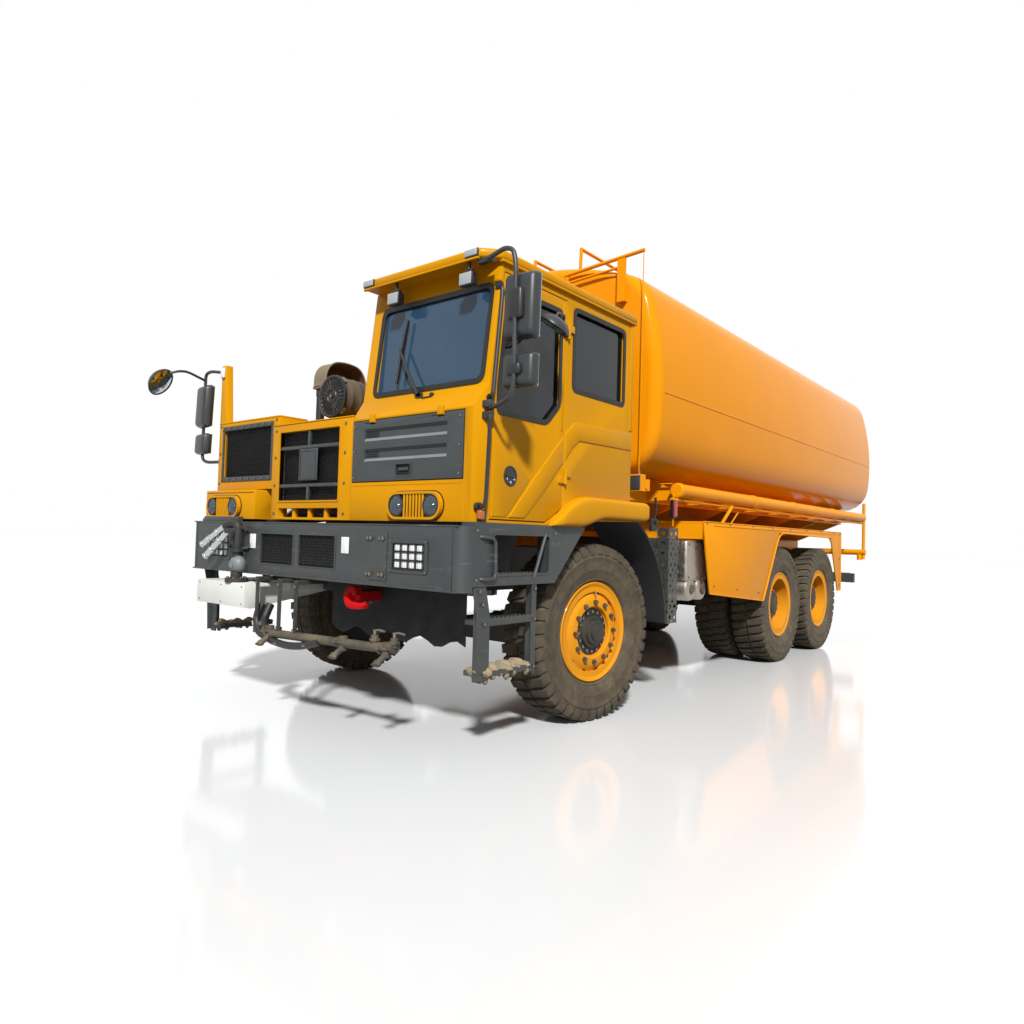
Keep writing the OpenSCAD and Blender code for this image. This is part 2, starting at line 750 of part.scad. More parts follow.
// A round-ended lamp unit with two round lenses and upright guard bars
module lamp_unit() {
    half = lamp_w / 2 - lamp_h / 2;
    block([-half, -14, -lamp_h / 2], [half, 0, lamp_h / 2]);
    for (side = [-1, 1]) translate([side * half, 0, 0]) rotate([90, 0, 0]) cylinder(h = 14, r = lamp_h / 2);
    for (side = [-1, 1])
        translate([side * half, -13, 0]) rotate([90, 0, 0]) cylinder(h = 18, r = lamp_h / 2 - 22);
    for (x = [-100, -50, 0, 50, 100]) block([x - 8, -24, -lamp_h / 2 + 6], [x + 8, -13, lamp_h / 2 - 6]);
}

module headlamps() {
    color([0.85, 0.86, 0.88]) {
        translate(left_lamp) lamp_unit();
        translate(right_lamp) lamp_unit();
    }
}

filter_at = [-535, -1000, 2510];
filter_r = 170;
filter_len = 260;
hood_x = [-945, -770];
hood_wall = 12;
hood_middle = [-680, 2740];
hood_outline = [
    [-901, 2652], [-901, 2772], [-829, 2868], [-684, 2889], [-531, 2868], [-459, 2768], [-459, 2652]
];
intake_pipe_at = [-905, -850];
engine_cover_z = 2150;
deck_z = arch_z + 50;

// Outline of the intake hood's hollow, drawn in towards its middle
function hood_hollow(keep) = [for (p = hood_outline) hood_middle + (p - hood_middle) * keep];

// Air cleaner drum on the engine cover, with its intake hood on a pipe beside it
module air_cleaner() {
    color([0.24, 0.22, 0.2]) {
        translate(filter_at) rotate([-90, 0, 0]) cylinder(h = filter_len, r = filter_r);
        translate(filter_at + [0, -14, 0]) rotate([-90, 0, 0]) cylinder(h = 30, r = filter_r + 12);
        for (y = [-960, -810])
            block([filter_at[0] - 60, y, engine_cover_z], [filter_at[0] + 90, y + 40, filter_at[2] - 120]);
        difference() {
            prism_x(hood_x[0], hood_x[1], hood_outline);
            prism_x(hood_x[0] + hood_wall, hood_x[1] + eps, hood_hollow(0.94));
        }
        block([hood_x[0], -901, 2632], [filter_at[0] - 50, -790, 2660]);
        translate([intake_pipe_at[0], intake_pipe_at[1], deck_z])
            cylinder(h = 2640 - deck_z, r = 36);
    }
}

mirror_y = -1452;

// A mirror head seen from behind as a rounded box
module mirror_head(x, y, z, w, h, t) {
    block([x - w / 2, y - t / 2, z - h / 2], [x + w / 2, y + t / 2, z + h / 2]);
}

// Mirrors on both sides with their tube arms, and the round look-down mirrors
module mirrors() {
    arm_x = 1800;
    head_x = mirror_reach - 130;
    color([0.16, 0.17, 0.18]) {
        tube([[cab_left + 6, -1315, 3050], [arm_x, mirror_y, 3085], [arm_x, mirror_y, 2190],
              [cab_left + 6, -1391, 2150]], 14);
        block([cab_left, -1315, 3020], [cab_left + 12, -1299, 3080]);
        block([cab_left, -1399, 2120], [cab_left + 12, -1383, 2180]);
        mirror_head(head_x, mirror_y, 2750, 260, 380, 110);
        mirror_head(head_x, mirror_y, 2360, 260, 190, 100);
        tube([[tower_left - 8, tower_y + 30, 2740], [-1790, tower_y - 10, 2760], [-1790, tower_y - 10, 1970],
              [tower_left - 8, tower_y + 30, 1955]], 14);
        for (z = [2740, 1955])
            block([tower_left - 16, tower_y + 8, z - 25], [tower_left, tower_y + 52, z + 25]);
        mirror_head(-1790, tower_y - 10, 2465, 220, 400, 80);
        mirror_head(-1790, tower_y - 10, 2125, 220, 190, 70);
        round_mirror = [-mirror_reach + 140, -front_reach + 140, 2630];
        tube([[-1790, tower_y - 10, 2700], [-1710, -1740, 2735], round_mirror], 11);
        translate(round_mirror) sphere(r = 140);
    }
}

step_x = 1500;
step_front_y = -bumper_front + bumper_wrap;

// Side steps: dark side panel with a foot hole, grab loop, treads and hanging ladder plates
module steps_shape() {
    difference() {
        prism_x(step_x, bumper_x - 3, [
            [step_front_y, 1060], [-690, 1060], [-322, cab_floor_z], [step_front_y, cab_floor_z]
        ]);
        block([step_x - eps, -1350, 1125], [bumper_x + eps, -760, 1385]);
    }
    block([step_x - 260, -1290, 1100], [step_x + 90, -860, 1125]);
    block([step_x - 280, -1290, 1100], [step_x - 240, -760, cab_floor_z]);
    block([step_x - 280, -1290, 1385], [step_x + 10, -900, cab_floor_z]);
    for (y = [-1420, -900]) block([step_x + 20, y, 470], [step_x + 90, y + 14, 1062]);
    for (z = [815, 500]) block([step_x - 60, -1410, z], [step_x + 90, -898, z + 32]);
}

module front_steps() {
    color([0.3, 0.33, 0.35]) both_sides() steps_shape();
}

// A point at a radius and an angle round the front axle
function arc_point(r, angle) = [r * cos(angle), wheel_z + r * sin(angle)];

// A ring sector round the front axle, between two radii and two angles
function ring_sector(r0, r1, a0, a1, steps) = concat(
    [for (i = [0 : steps]) arc_point(r1, a0 + (a1 - a0) * i / steps)],
    [for (i = [steps : -1 : 0]) arc_point(r0, a0 + (a1 - a0) * i / steps)]
);

flare_x = 1655;
flare_top_z = arch_z + 15;

// Outline of a wheel flare; the top line can be lowered to pass under the cab's edge
function flare_outline(top) = [
    [arch_start_y + 12, cab_floor_z], [-352, cab_floor_z], [-235, 1498], [540, 1520], [545, top - 50],
    [490, top], [arch_end_y, top], [arch_start_y + 20, cab_floor_z + 10 + top - flare_top_z]
];

// Yellow flares over the front wheels and the black arch liners behind them
module front_fenders() {
    color([0.9, 0.65, 0.05]) both_sides() {
        prism_x(cab_left, flare_x, flare_outline(flare_top_z));
        prism_x(cab_left - 110, cab_left + eps, [
            [-330, cab_floor_z + 10], [-235, 1498], [540, 1520], [540, arch_z], [arch_end_y, arch_z], [-420, arch_z - 40]
        ]);
    }
    color([0.08, 0.08, 0.08]) both_sides()
        prism_x(1120, cab_left + 5, ring_sector(955, 975, 0, 66, 12));
}

// Perforated upright behind each front wheel
module side_guards() {
    color([0.4, 0.41, 0.42]) both_sides() difference() {
        union() {
            block([1480, 1010, 660], [1590, 1022, 1490]);
            block([1578, 1010, 660], [1590, 1180, 1490]);
            block([rail_x, 1022, 1300], [1590, 1060, 1400]);
        }
        for (z = [740 : 110 : 1440]) {
            translate([1500, 1000, z]) translate([30, 0, 0]) rotate([-90, 0, 0]) cylinder(h = 40, r = 20);
            translate([1570, 1105, z]) rotate([0, 90, 0]) cylinder(h = 40, r = 20);
        }
    }
}

silencer_y = [1476, 1930];
silencer_z = [1000, 1390];

// Silencer drums under their heat-shield box behind the left front wheel
module silencer() {
    color([0.6, 0.59, 0.56]) {
        for (y = [1590, 1815]) translate([900, y, 930]) rotate([0, 90, 0]) cylinder(h = 640, r = 112);
        block([880, silencer_y[0], silencer_z[0]], [1540, silencer_y[1], silencer_z[1]]);
        block([rail_x, 1600, 1150], [900, 1760, 1250]);
    }
}

// Fuel tank on the right side
module fuel_tank() {
    color([0.5, 0.5, 0.5]) {
        block([-1540, 1240, 700], [-880, 1640, 1330]);
        block([-900, 1340, 1000], [-rail_x, 1420, 1100]);
    }
}

// ---------------------------------------------------------------- tank

head_round = 110;

arc_r = 3200;
arc_in = arc_r - tank_edge_r;
top_centre = [0, tank_top_z - arc_r];
side_centre = [tank_x - arc_r, tank_mid_z];

// Centres of the upper and lower edge rounds, each tangent to the arcs it joins
edge_half = (side_centre - top_centre) / 2;
edge_turn = [-edge_half[1], edge_half[0]] / norm(edge_half);
edge_step = sqrt(arc_in * arc_in - edge_half * edge_half);
edge_dir = edge_turn[0] > 0 ? edge_turn : -edge_turn;
upper_centre = top_centre + edge_half + edge_step * edge_dir;
lower_z = tank_bottom_z + tank_edge_r;
lower_centre = [side_centre[0] + sqrt(arc_in * arc_in - pow(lower_z - tank_mid_z, 2)), lower_z];

function heading(from, to) = atan2(to[1] - from[1], to[0] - from[0]);
function arc(centre, r, a0, a1, steps) = [
    for (i = [0 : steps]) centre + r * [cos(a0 + (a1 - a0) * i / steps), sin(a0 + (a1 - a0) * i / steps)]
];

top_turn = heading(top_centre, upper_centre);
side_turn = heading(side_centre, upper_centre);
low_turn = heading(side_centre, lower_centre);

// Left half of the tank's cross section from the bottom to the top, pulled in by an inset
function half_section(inset) = concat(
    arc(lower_centre, tank_edge_r - inset, -90, low_turn, 5),
    arc(side_centre, arc_r - inset, low_turn + 1.5, side_turn - 1.5, 8),
    arc(upper_centre, tank_edge_r - inset, side_turn, top_turn, 5),
    arc(top_centre, arc_r - inset, top_turn + 1, 89.4, 24)
);

function mirrored(list) = [for (i = [len(list) - 1 : -1 : 0]) [-list[i][0], list[i][1]]];

function ring_at(y, inset) = [
    for (p = concat(half_section(inset), mirrored(half_section(inset)))) [p[0], y, p[1]]
];

// A closed skin over rings of equally many points, capped at both ends
module skin(rings) {
    n = len(rings[0]);
    last = len(rings) - 1;
    walls = [for (i = [0 : last - 1], j = [0 : n - 1], half = [0, 1])
        half == 0
            ? [i * n + j, i * n + (j + 1) % n, (i + 1) * n + (j + 1) % n]
            : [i * n + j, (i + 1) * n + (j + 1) % n, (i + 1) * n + j]
    ];
    caps = [[for (j = [n - 1 : -1 : 0]) j], [for (j = [0 : n - 1]) last * n + j]];
    polyhedron(points = [for (ring = rings, p = ring) p], faces = concat(walls, caps));
}

manhole_y = tank_front + 2600;
manhole_r = 290;
manhole_z = tank_top_z + 90;

// Tank with rounded heads and the manhole's neck on top
module tank() {
    color([0.96, 0.61, 0.07]) {
        skin([
            ring_at(tank_front, head_round),
            ring_at(tank_front + head_round * 0.3, head_round * 0.3),
            ring_at(tank_front + head_round, 0),
            ring_at(tank_rear - head_round, 0),
            ring_at(tank_rear - head_round * 0.3, head_round * 0.3),
            ring_at(tank_rear, head_round)
        ]);
        translate([0, manhole_y, tank_top_z - 60]) cylinder(h = manhole_z - tank_top_z + 60, r = manhole_r);
    }
}

cradle_x = 1150;
cradle_wall = 20;
saddle_x = cradle_x - cradle_wall - seat_gap;
saddle_z = rail_top + 170;

// Cradle: sub-frame on the rails, cross saddles and side plates under the tank
module tank_cradle() {
    color([0.85, 0.45, 0.05]) {
        both_sides() {
            block([rail_x - rail_w, tank_front + 50, rail_top], [rail_x, frame_rear, saddle_z - seat_gap]);
            block(
                [cradle_x - cradle_wall, tank_front + 40, 1730],
                [cradle_x, tank_rear - 110, tank_bottom_z]
            );
        }
        for (y = [tank_front + 40 : (tank_len - 200) / 6 : tank_rear - 150])
            prism_y(y, y + 40, [
                [-rail_x - 20, saddle_z], [rail_x + 20, saddle_z], [saddle_x, 1730],
                [saddle_x, tank_bottom_z], [-saddle_x, tank_bottom_z], [-saddle_x, 1730]
            ]);
    }
}

// Hinged manhole lid, its hinge at the front of the neck
lid_hinge_y = manhole_y - manhole_r - 60;
module manhole_lid() {
    color([0.96, 0.61, 0.07]) {
        translate([0, manhole_y, manhole_z + seat_gap]) cylinder(h = 30, r = manhole_r + 25);
        translate([-60, lid_hinge_y, manhole_z + 15]) rotate([0, 90, 0]) cylinder(h = 120, r = 14);
        block([-60, lid_hinge_y, manhole_z + 5], [60, manhole_y - manhole_r, manhole_z + 25]);
    }
}

// Level gauge: boom and post on the front head, with the wire down to its lever box
module level_gauge() {
    boom_z = 3865;
    boom_y = tank_front - 40;
    wire_x = 1425;
    color([0.96, 0.61, 0.07]) {
        bar([590, boom_y, boom_z - 30], [wire_x, boom_y, boom_z + 30], 17);
        bar([612, boom_y, boom_z - 105], [1200, boom_y, boom_z - 70], 12);
        block([598, boom_y - 8, boom_z - 125], [626, boom_y + 8, boom_z - 30]);
        block([1160, boom_y - 10, 3480], [1240, boom_y + 10, boom_z + 6]);
        block([1160, boom_y + 9, 3480], [1240, tank_front, 3560]);
    }
    color([0.7, 0.7, 0.7]) bar([wire_x - 6, boom_y, 1930], [wire_x - 6, boom_y, boom_z + 20], 4);
    color([0.3, 0.31, 0.32]) {
        block([wire_x - 60, boom_y - 60, 1790], [wire_x + 50, boom_y + 20, 1935]);
        block([cradle_x, tank_front + 45, 1800], [wire_x + 40, tank_front + 75, 1900]);
        block([wire_x - 30, boom_y, 1820], [wire_x + 30, tank_front + 75, 1880]);
    }
}

// Height of the tank's top skin at a distance from the centre line
function skin_z(x) = top_centre[1] + sqrt(arc_r * arc_r - x * x);

// Height of a rail's foot, clear of the skin that slopes under it
foot_gap = 1.8;

ladder_y = tank_rear + 110;

// Hand hoops on the tank's top and the ladder behind it
module tank_rails() {
    rail_r = 17;
    hoop_z = tank_top_z + 385;
    loop_z = tank_top_z + 205;
    color([0.96, 0.61, 0.07]) {
        for (x = [-300, 300]) {
            foot_z = skin_z(x) + foot_gap;
            tube([[x, 1420, foot_z], [x, 1440, hoop_z], [x, 2700, hoop_z], [x, 2720, foot_z]], rail_r);
        }
        for (x = [-230, 230])
            tube([[x, tank_rear - 260, skin_z(x) + foot_gap], [x, tank_rear - 260, loop_z], [x, ladder_y, loop_z],
                  [x, ladder_y, 1345]], rail_r);
        rung_x = 230 - rail_r - seat_gap;
        for (z = [1400 : 300 : 3950]) bar([-rung_x, ladder_y, z], [rung_x, ladder_y, z], 13);
        for (x = [-230, 230], z = [2500, 3500])
            bar([x, tank_rear, z], [x, ladder_y - rail_r - seat_gap, z], 13);
    }
}

tube_x = 1500;
tube_z = 1835;

// Side tubes for suction hoses, carried on brackets from the cradle
module hose_tubes() {
    y0 = 1320;
    y1 = tank_rear - 260;
    color([0.93, 0.6, 0.08]) both_sides() {
        translate([tube_x, y0, tube_z]) rotate([-90, 0, 0]) cylinder(h = y1 - y0, r = 65);
        for (y = [y0 + 80 : (y1 - y0 - 200) / 8 : y1]) {
            prism_y(y, y + 12, [
                [cradle_x, tube_z - 90], [tube_x, tube_z - 75], [tube_x, tube_z - 50],
                [cradle_x + 90, tank_bottom_z - 5], [cradle_x, tank_bottom_z - 5]
            ]);
        }
        bar([tube_x, y0 - 100, tube_z - 86], [tube_x, y1, tube_z - 86], 16);
    }
}

fender_x = 1592;

// Rear mudguards: side panel with the wheel opening, top plate and inner stays
module rear_fenders() {
    color([0.95, 0.6, 0.07]) both_sides() {
        prism_x(fender_x, fender_x + 14, [
            [1667, 1567], [1849, 877], [3242, 744], [3733, 1505], [5768, 1485], [6110, 751], [6260, 751], [6250, 1567]
        ]);
        block([800, 1667, 1545], [fender_x + 1, 6250, 1567]);
        block([800, 1668, 1400], [fender_x + 1, 1682, 1567]);
        for (y = [1700, 2900, 4650, 6200]) {
            block([rail_x, y, 1400], [rail_x + 50, y + 40, 1545]);
            block([rail_x, y, 1505], [820, y + 40, 1546]);
        }
        bar([1560, 1830, 1290], [1560, 2440, 1740], 16);
    }
}

// Front spray bar with its hoses, brackets and nozzles
module front_spray_bar() {
    color([0.35, 0.33, 0.3]) {
        bar([-200, -1700, 620], [1150, -1700, 640], 32);
        for (x = [-120, 200, 620, 1050]) {
            translate([x, -1700, 560]) cylinder(h = 80, r = 26);
            bar([x, -1700, 575], [x, -1790, 540], 22);
        }
        for (x = [-150, 50]) block([x, -1712, 620], [x + 16, -1690, 1000]);
        for (x = [-150, 50]) block([x, -1712, 985], [x + 16, rail_y0, 1020]);
        tube([[-450, -1650, 780], [-420, -1680, 600], [-190, -1700, 620]], 30);
    }
}

valve_box_x = [-1205, -505];

// White steel valve box under the bumper, its arm reaching to the chassis rail
module valve_box() {
    color([0.86, 0.87, 0.85]) {
        prism_x(valve_box_x[0], valve_box_x[1], [
            [-1760, 955], [-1760, 775], [-1700, 765], [-1000, 880], [-1000, 955]
        ]);
        block([valve_box_x[1] - 1, -1432, 900], [-rail_x + 70, -1000, rail_z]);
    }
}

// Rear spray bar with two fan nozzles and the pump
module rear_spray_bar() {
    y = tank_rear + 60;
    color([0.93, 0.6, 0.08]) {
        bar([-1490, y, 1285], [1490, y, 1285], 45);
        for (x = [-1400, -700, 700, 1400]) translate([x, y, 1160]) cylinder(h = 130, r = 38);
        for (x = [-420, 420]) block([x - 40, frame_rear, 1195], [x + 40, y, 1275]);
        for (side = [-1, 1]) bar([side * 1460, y, 1170], [side * 1460, y, 2080], 24);
    }
}

// Rear bumper beam with lamp housings
module rear_bumper() {
    y = tank_rear + 180;
    color([0.3, 0.33, 0.35]) {
        block([-1300, y - 60, 780], [1300, y + 20, 930]);
        for (x = [-420, 420]) block([x - 45, frame_rear - 200, 860], [x + 45, y - 50, rail_z]);
        both_sides() block([1040, y + 19, 795], [1280, rear_reach, 915]);
    }
}

place() chassis_frame();
place() engine_block();
place() front_axle();
place() suspension();
place() rear_axles();
place() knuckle_left();
place() knuckle_right();
place() tie_rod();
place() tyre_front_left();
place() rim_front_left();
place() tyre_front_right();
place() rim_front_right();
place() tyres_first_left();
place() rims_first_left();
place() tyres_first_right();
place() rims_first_right();
place() tyres_second_left();
place() rims_second_left();
place() tyres_second_right();
place() rims_second_right();
place() front_bumper();
place() tow_hook();
place() cab_shell();
place() cab_roof();
place() cab_door();
place() door_glass();
place() cab_glass();
place() driver_seat();
place() steering_wheel();
place() dashboard();
place() service_panel();
place() middle_grille();
place() right_hood();
place() headlamps();
place() air_cleaner();
place() mirrors();
place() front_steps();
place() front_fenders();
place() side_guards();
place() silencer();
place() fuel_tank();
place() tank();
place() tank_cradle();
place() manhole_lid();
place() level_gauge();
place() tank_rails();
place() hose_tubes();
place() rear_fenders();
place() front_spray_bar();
place() valve_box();
place() rear_spray_bar();
place() rear_bumper();
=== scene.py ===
"""Off-road water tanker truck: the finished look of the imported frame, laid out as an add-on.

The truck faces -Y, its left side is +X and Z is up, all in metres.
"""
import contextlib
import json
import math

import bmesh
import bpy
from mathutils import Matrix, Vector


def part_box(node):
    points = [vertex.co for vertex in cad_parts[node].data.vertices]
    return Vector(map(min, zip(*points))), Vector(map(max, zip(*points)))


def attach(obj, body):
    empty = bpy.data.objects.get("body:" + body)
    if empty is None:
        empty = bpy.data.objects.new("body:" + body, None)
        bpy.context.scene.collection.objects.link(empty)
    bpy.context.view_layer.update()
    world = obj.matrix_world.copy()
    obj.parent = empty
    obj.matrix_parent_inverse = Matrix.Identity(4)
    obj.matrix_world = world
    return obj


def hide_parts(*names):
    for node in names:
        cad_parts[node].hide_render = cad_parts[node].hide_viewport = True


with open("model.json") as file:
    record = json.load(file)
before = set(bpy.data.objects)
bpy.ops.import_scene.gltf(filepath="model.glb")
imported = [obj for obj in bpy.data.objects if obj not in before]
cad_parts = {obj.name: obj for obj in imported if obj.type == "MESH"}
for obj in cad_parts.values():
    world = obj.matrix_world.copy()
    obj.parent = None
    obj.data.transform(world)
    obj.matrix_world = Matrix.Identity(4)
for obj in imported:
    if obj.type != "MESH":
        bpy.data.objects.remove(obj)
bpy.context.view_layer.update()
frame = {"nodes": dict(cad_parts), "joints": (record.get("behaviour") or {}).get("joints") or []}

bl_info = {
    "name": "Water tanker truck",
    "version": (1, 0, 0),
    "blender": (4, 5, 0),
    "location": "View3D > Sidebar > Tanker",
    "description": "Builds the detailed look of an off-road water tanker truck",
    "category": "Object",
}

JOINTS = {joint["name"]: joint for joint in frame["joints"]}
AXLE_Y = JOINTS["steer_left"]["pos_m"][1]
CHASSIS = "chassis"


def at(x, y, z):
    """A point whose y is counted from the front axle, in the frame of the part."""
    return Vector((x, AXLE_Y + y, z))


# ------------------------------------------------------------------ settings


class TankerColours(bpy.types.PropertyGroup):
    """Colours of the truck's finishes, as sRGB hex values"""

    cab: bpy.props.StringProperty(name="Cab", description="Enamel of the cab and the hood", default="#DE9A08")
    tank: bpy.props.StringProperty(name="Tank", description="Enamel of the tank and the mudguards", default="#EE960A")
    grey: bpy.props.StringProperty(name="Grey parts", description="Paint of bumper, steps and panel", default="#33383A")
    mud: bpy.props.StringProperty(name="Mud", description="Dried mud and road dust", default="#8F8062")
    rubber: bpy.props.StringProperty(name="Rubber", description="Tyre rubber", default="#2B2724")


class TankerSizes(bpy.types.PropertyGroup):
    """Sizes of the trim that the looks add"""

    lugs: bpy.props.IntProperty(name="Lugs", description="Tread lugs in one row of a tyre", default=42, min=24, max=60)
    lug_depth: bpy.props.FloatProperty(
        name="Lug depth", description="Depth of the tread grooves", default=0.026, min=0.01, max=0.04, unit="LENGTH")
    mesh_pitch: bpy.props.FloatProperty(
        name="Mesh pitch", description="Spacing of the grille mesh", default=0.017, min=0.01, max=0.05, unit="LENGTH")
    ease: bpy.props.FloatProperty(
        name="Edge radius", description="Rounding of folded sheet edges", default=0.006, min=0.001, max=0.02,
        unit="LENGTH")


def colours():
    return bpy.context.scene.tanker_colours


def sizes():
    return bpy.context.scene.tanker_sizes


# ------------------------------------------------------------------ modelling


@contextlib.contextmanager
def coat(bm, index):
    """The faces made inside the block take this one of the piece's materials."""
    layer = bm.faces.layers.int.get("coated") or bm.faces.layers.int.new("coated")
    for face in bm.faces:
        face[layer] = 1
    yield
    layer = bm.faces.layers.int.get("coated")
    for face in bm.faces:
        if not face[layer]:
            face.material_index = index


def cuboid(bm, size):
    """A box about the origin; gives its vertices."""
    verts = bmesh.ops.create_cube(bm, size=1)["verts"]
    bmesh.ops.scale(bm, vec=size, verts=verts)
    return verts


def fold_round(bm, edges, width, segments):
    """Rounds edges over."""
    bmesh.ops.bevel(bm, geom=edges, offset=width, segments=segments, profile=0.5, affect="EDGES", material=-1)


def moved(bm, grown, push):
    """Moves the vertices that an extrusion made along a vector; gives them."""
    verts = [item for item in grown["geom"] if isinstance(item, bmesh.types.BMVert)]
    bmesh.ops.translate(bm, verts=verts, vec=push)
    return verts


def slab(bm, low, high, ease=0.0, turn=None):
    """A box between two corners, its edges eased, turned by a matrix about its middle."""
    low, high = Vector(low), Vector(high)
    size = [abs(b - a) for a, b in zip(low, high)]
    verts = cuboid(bm, size)
    if turn is not None:
        bmesh.ops.transform(bm, matrix=turn, verts=verts)
    bmesh.ops.transform(bm, matrix=Matrix.Translation((low + high) / 2), verts=verts)
    if ease:
        edges = list({edge for vert in verts for edge in vert.link_edges})
        fold_round(bm, edges, min(ease, min(size) * 0.45), 3)


def rod(bm, start, end, r, r_end=None, sides=16):
    """A round bar between two points."""
    start, end = Vector(start), Vector(end)
    run = end - start
    place = Matrix.Translation((start + end) / 2) @ run.to_track_quat("Z", "Y").to_matrix().to_4x4()
    bmesh.ops.create_cone(bm, cap_ends=True, segments=sides, radius1=r, radius2=r if r_end is None else r_end,
                          depth=run.length, matrix=place)


def hexagon(bm, centre, direction, across, height):
    """A bolt head or nut whose foot stands on centre."""
    centre, direction = Vector(centre), Vector(direction).normalized()
    rod(bm, centre, centre + direction * height, across / 2, sides=6)


def front_bolts(bm, xs, y, zs, across, height):
    """Rows of bolt heads on a cross plane, facing forwards."""
    for x in xs:
        for z in zs:
            hexagon(bm, at(x, y, z), (0, -1, 0), across, height)


def around(count, phase=0.0):
    """The cosine and sine of evenly spaced angles round a circle, shifted by a part of a step."""
    for i in range(count):
        angle = math.tau * (i + phase) / count
        yield math.cos(angle), math.sin(angle)


def rounded(points, r, closed=False, steps=5):
    """The points with each corner swapped for a short curve of about that radius."""
    points = [Vector(p) for p in points]
    made = []
    last = len(points) - 1
    for i, p in enumerate(points):
        if not closed and i in (0, last):
            made.append(p)
            continue
        before, after = points[i - 1], points[(i + 1) % len(points)]
        reach = min(r, (p - before).length * 0.49, (after - p).length * 0.49)
        a = p + (before - p).normalized() * reach
        b = p + (after - p).normalized() * reach
        for k in range(steps + 1):
            t = k / steps
            made.append(a * (1 - t) ** 2 + p * 2 * t * (1 - t) + b * t * t)
    return made


def pipe(bm, points, r, bend=0.06, sides=3):
    """A bent tube through a list of points, with round bends and closed ends."""
    curve = bpy.data.curves.new("pipe", "CURVE")
    curve.dimensions = "3D"
    curve.bevel_depth = r
    curve.bevel_resolution = sides
    curve.use_fill_caps = True
    path = rounded(points, bend)
    spline = curve.splines.new("POLY")
    spline.points.add(len(path) - 1)
    for point, place in zip(spline.points, path):
        point.co = (*place, 1)
    holder = bpy.data.objects.new("pipe", curve)
    mesh = bpy.data.meshes.new_from_object(holder)
    bm.from_mesh(mesh)
    bpy.data.objects.remove(holder)
    bpy.data.curves.remove(curve)
    bpy.data.meshes.remove(mesh)


def plate(bm, outline, push, ease=0.0):
    """A flat plate: an outline pushed along a vector, its front edges eased."""
    face = bm.faces.new([bm.verts.new(p) for p in outline])
    top = moved(bm, bmesh.ops.extrude_face_region(bm, geom=[face]), push)
    if ease:
        ring = {edge for vert in top for edge in vert.link_edges if all(v in top for v in edge.verts)}
        fold_round(bm, list(ring), ease, 2)


def ring_plate(bm, outline, width, push, r=0.003):
    """A flat frame that runs inside an outline, its corners rounded, pushed along a vector."""
    points = [Vector(p) for p in outline]
    normal = Vector(push).normalized()
    area = sum((a.cross(b) for a, b in zip(points, points[1:] + points[:1])), Vector())
    inwards = normal if area.dot(normal) > 0 else -normal
    loops = []
    for inset, corner in ((0.0, r), (width, max(r - width * 0.7, 0.003))):
        path = []
        for i, p in enumerate(points):
            before = (p - points[i - 1]).normalized()
            after = (points[(i + 1) % len(points)] - p).normalized()
            side = inwards.cross(before) + inwards.cross(after)
            path.append(p + side * inset / (1 + before.dot(after)))
        loops.append([bm.verts.new(p) for p in rounded(path, corner, closed=True)])
    outer, inner = loops
    faces = [bm.faces.new((outer[i - 1], outer[i], inner[i], inner[i - 1])) for i in range(len(outer))]
    moved(bm, bmesh.ops.extrude_face_region(bm, geom=faces), push)


def spun(bm, profile, place, steps=48):
    """A body of revolution: (radius, height) points spun about the local Z of a matrix."""
    verts = [bm.verts.new((radius, 0, height)) for radius, height in profile]
    edges = [bm.edges.new(pair) for pair in zip(verts, verts[1:])]
    bmesh.ops.spin(bm, geom=verts + edges, cent=(0, 0, 0), axis=(0, 0, 1), angle=math.tau, steps=steps, use_merge=True)
    # The spun body is all that hangs together with the profile
    seen = set(verts)
    stack = list(verts)
    while stack:
        for edge in stack.pop().link_edges:
            for vert in edge.verts:
                if vert not in seen:
                    seen.add(vert)
                    stack.append(vert)
    bmesh.ops.transform(bm, matrix=place, verts=list(seen))
    bmesh.ops.remove_doubles(bm, verts=list(seen), dist=1e-5)


Z_TO_X = Matrix.Rotation(math.radians(90), 4, "Y")


def along_x(centre):
    """A matrix that lays local Z along the truck's X, at a point."""
    return Matrix.Translation(centre) @ Z_TO_X


def facing(centre, direction):
    """A matrix that points local Z in a direction, at a point."""
    return Matrix.Translation(centre) @ Vector(direction).to_track_quat("Z", "Y").to_matrix().to_4x4()


def mesh_panel(bm, low, high, axis, pitch, wire):
    """A woven or punched sheet between two corners: a grid whose cells are open."""
    low, high = Vector(low), Vector(high)
    spans = [i for i in range(3) if i != axis]
    counts = [max(2, round(abs(high[i] - low[i]) / pitch)) for i in spans]
    verts = bmesh.ops.create_grid(bm, x_segments=counts[0], y_segments=counts[1], size=0.5)["verts"]
    for vert in verts:
        place = low.copy()
        for i, part in zip(spans, (vert.co.x + 0.5, vert.co.y + 0.5)):
            place[i] = low[i] + (high[i] - low[i]) * part
        vert.co = place
    faces = list({face for vert in verts for face in vert.link_faces})
    bmesh.ops.inset_individual(bm, faces=faces, thickness=wire / 2, use_even_offset=True)
    bmesh.ops.delete(bm, geom=faces, context="FACES_ONLY")


def into_mesh(name, bm):
    """A mesh made of a bmesh, which is used up."""
    mesh = bpy.data.meshes.new(name)
    bm.to_mesh(mesh)
    bm.free()
    return mesh


def linked(name, data):
    """An object of a mesh, light or camera, in the scene."""
    item = bpy.data.objects.new(name, data)
    bpy.context.scene.collection.objects.link(item)
    return item


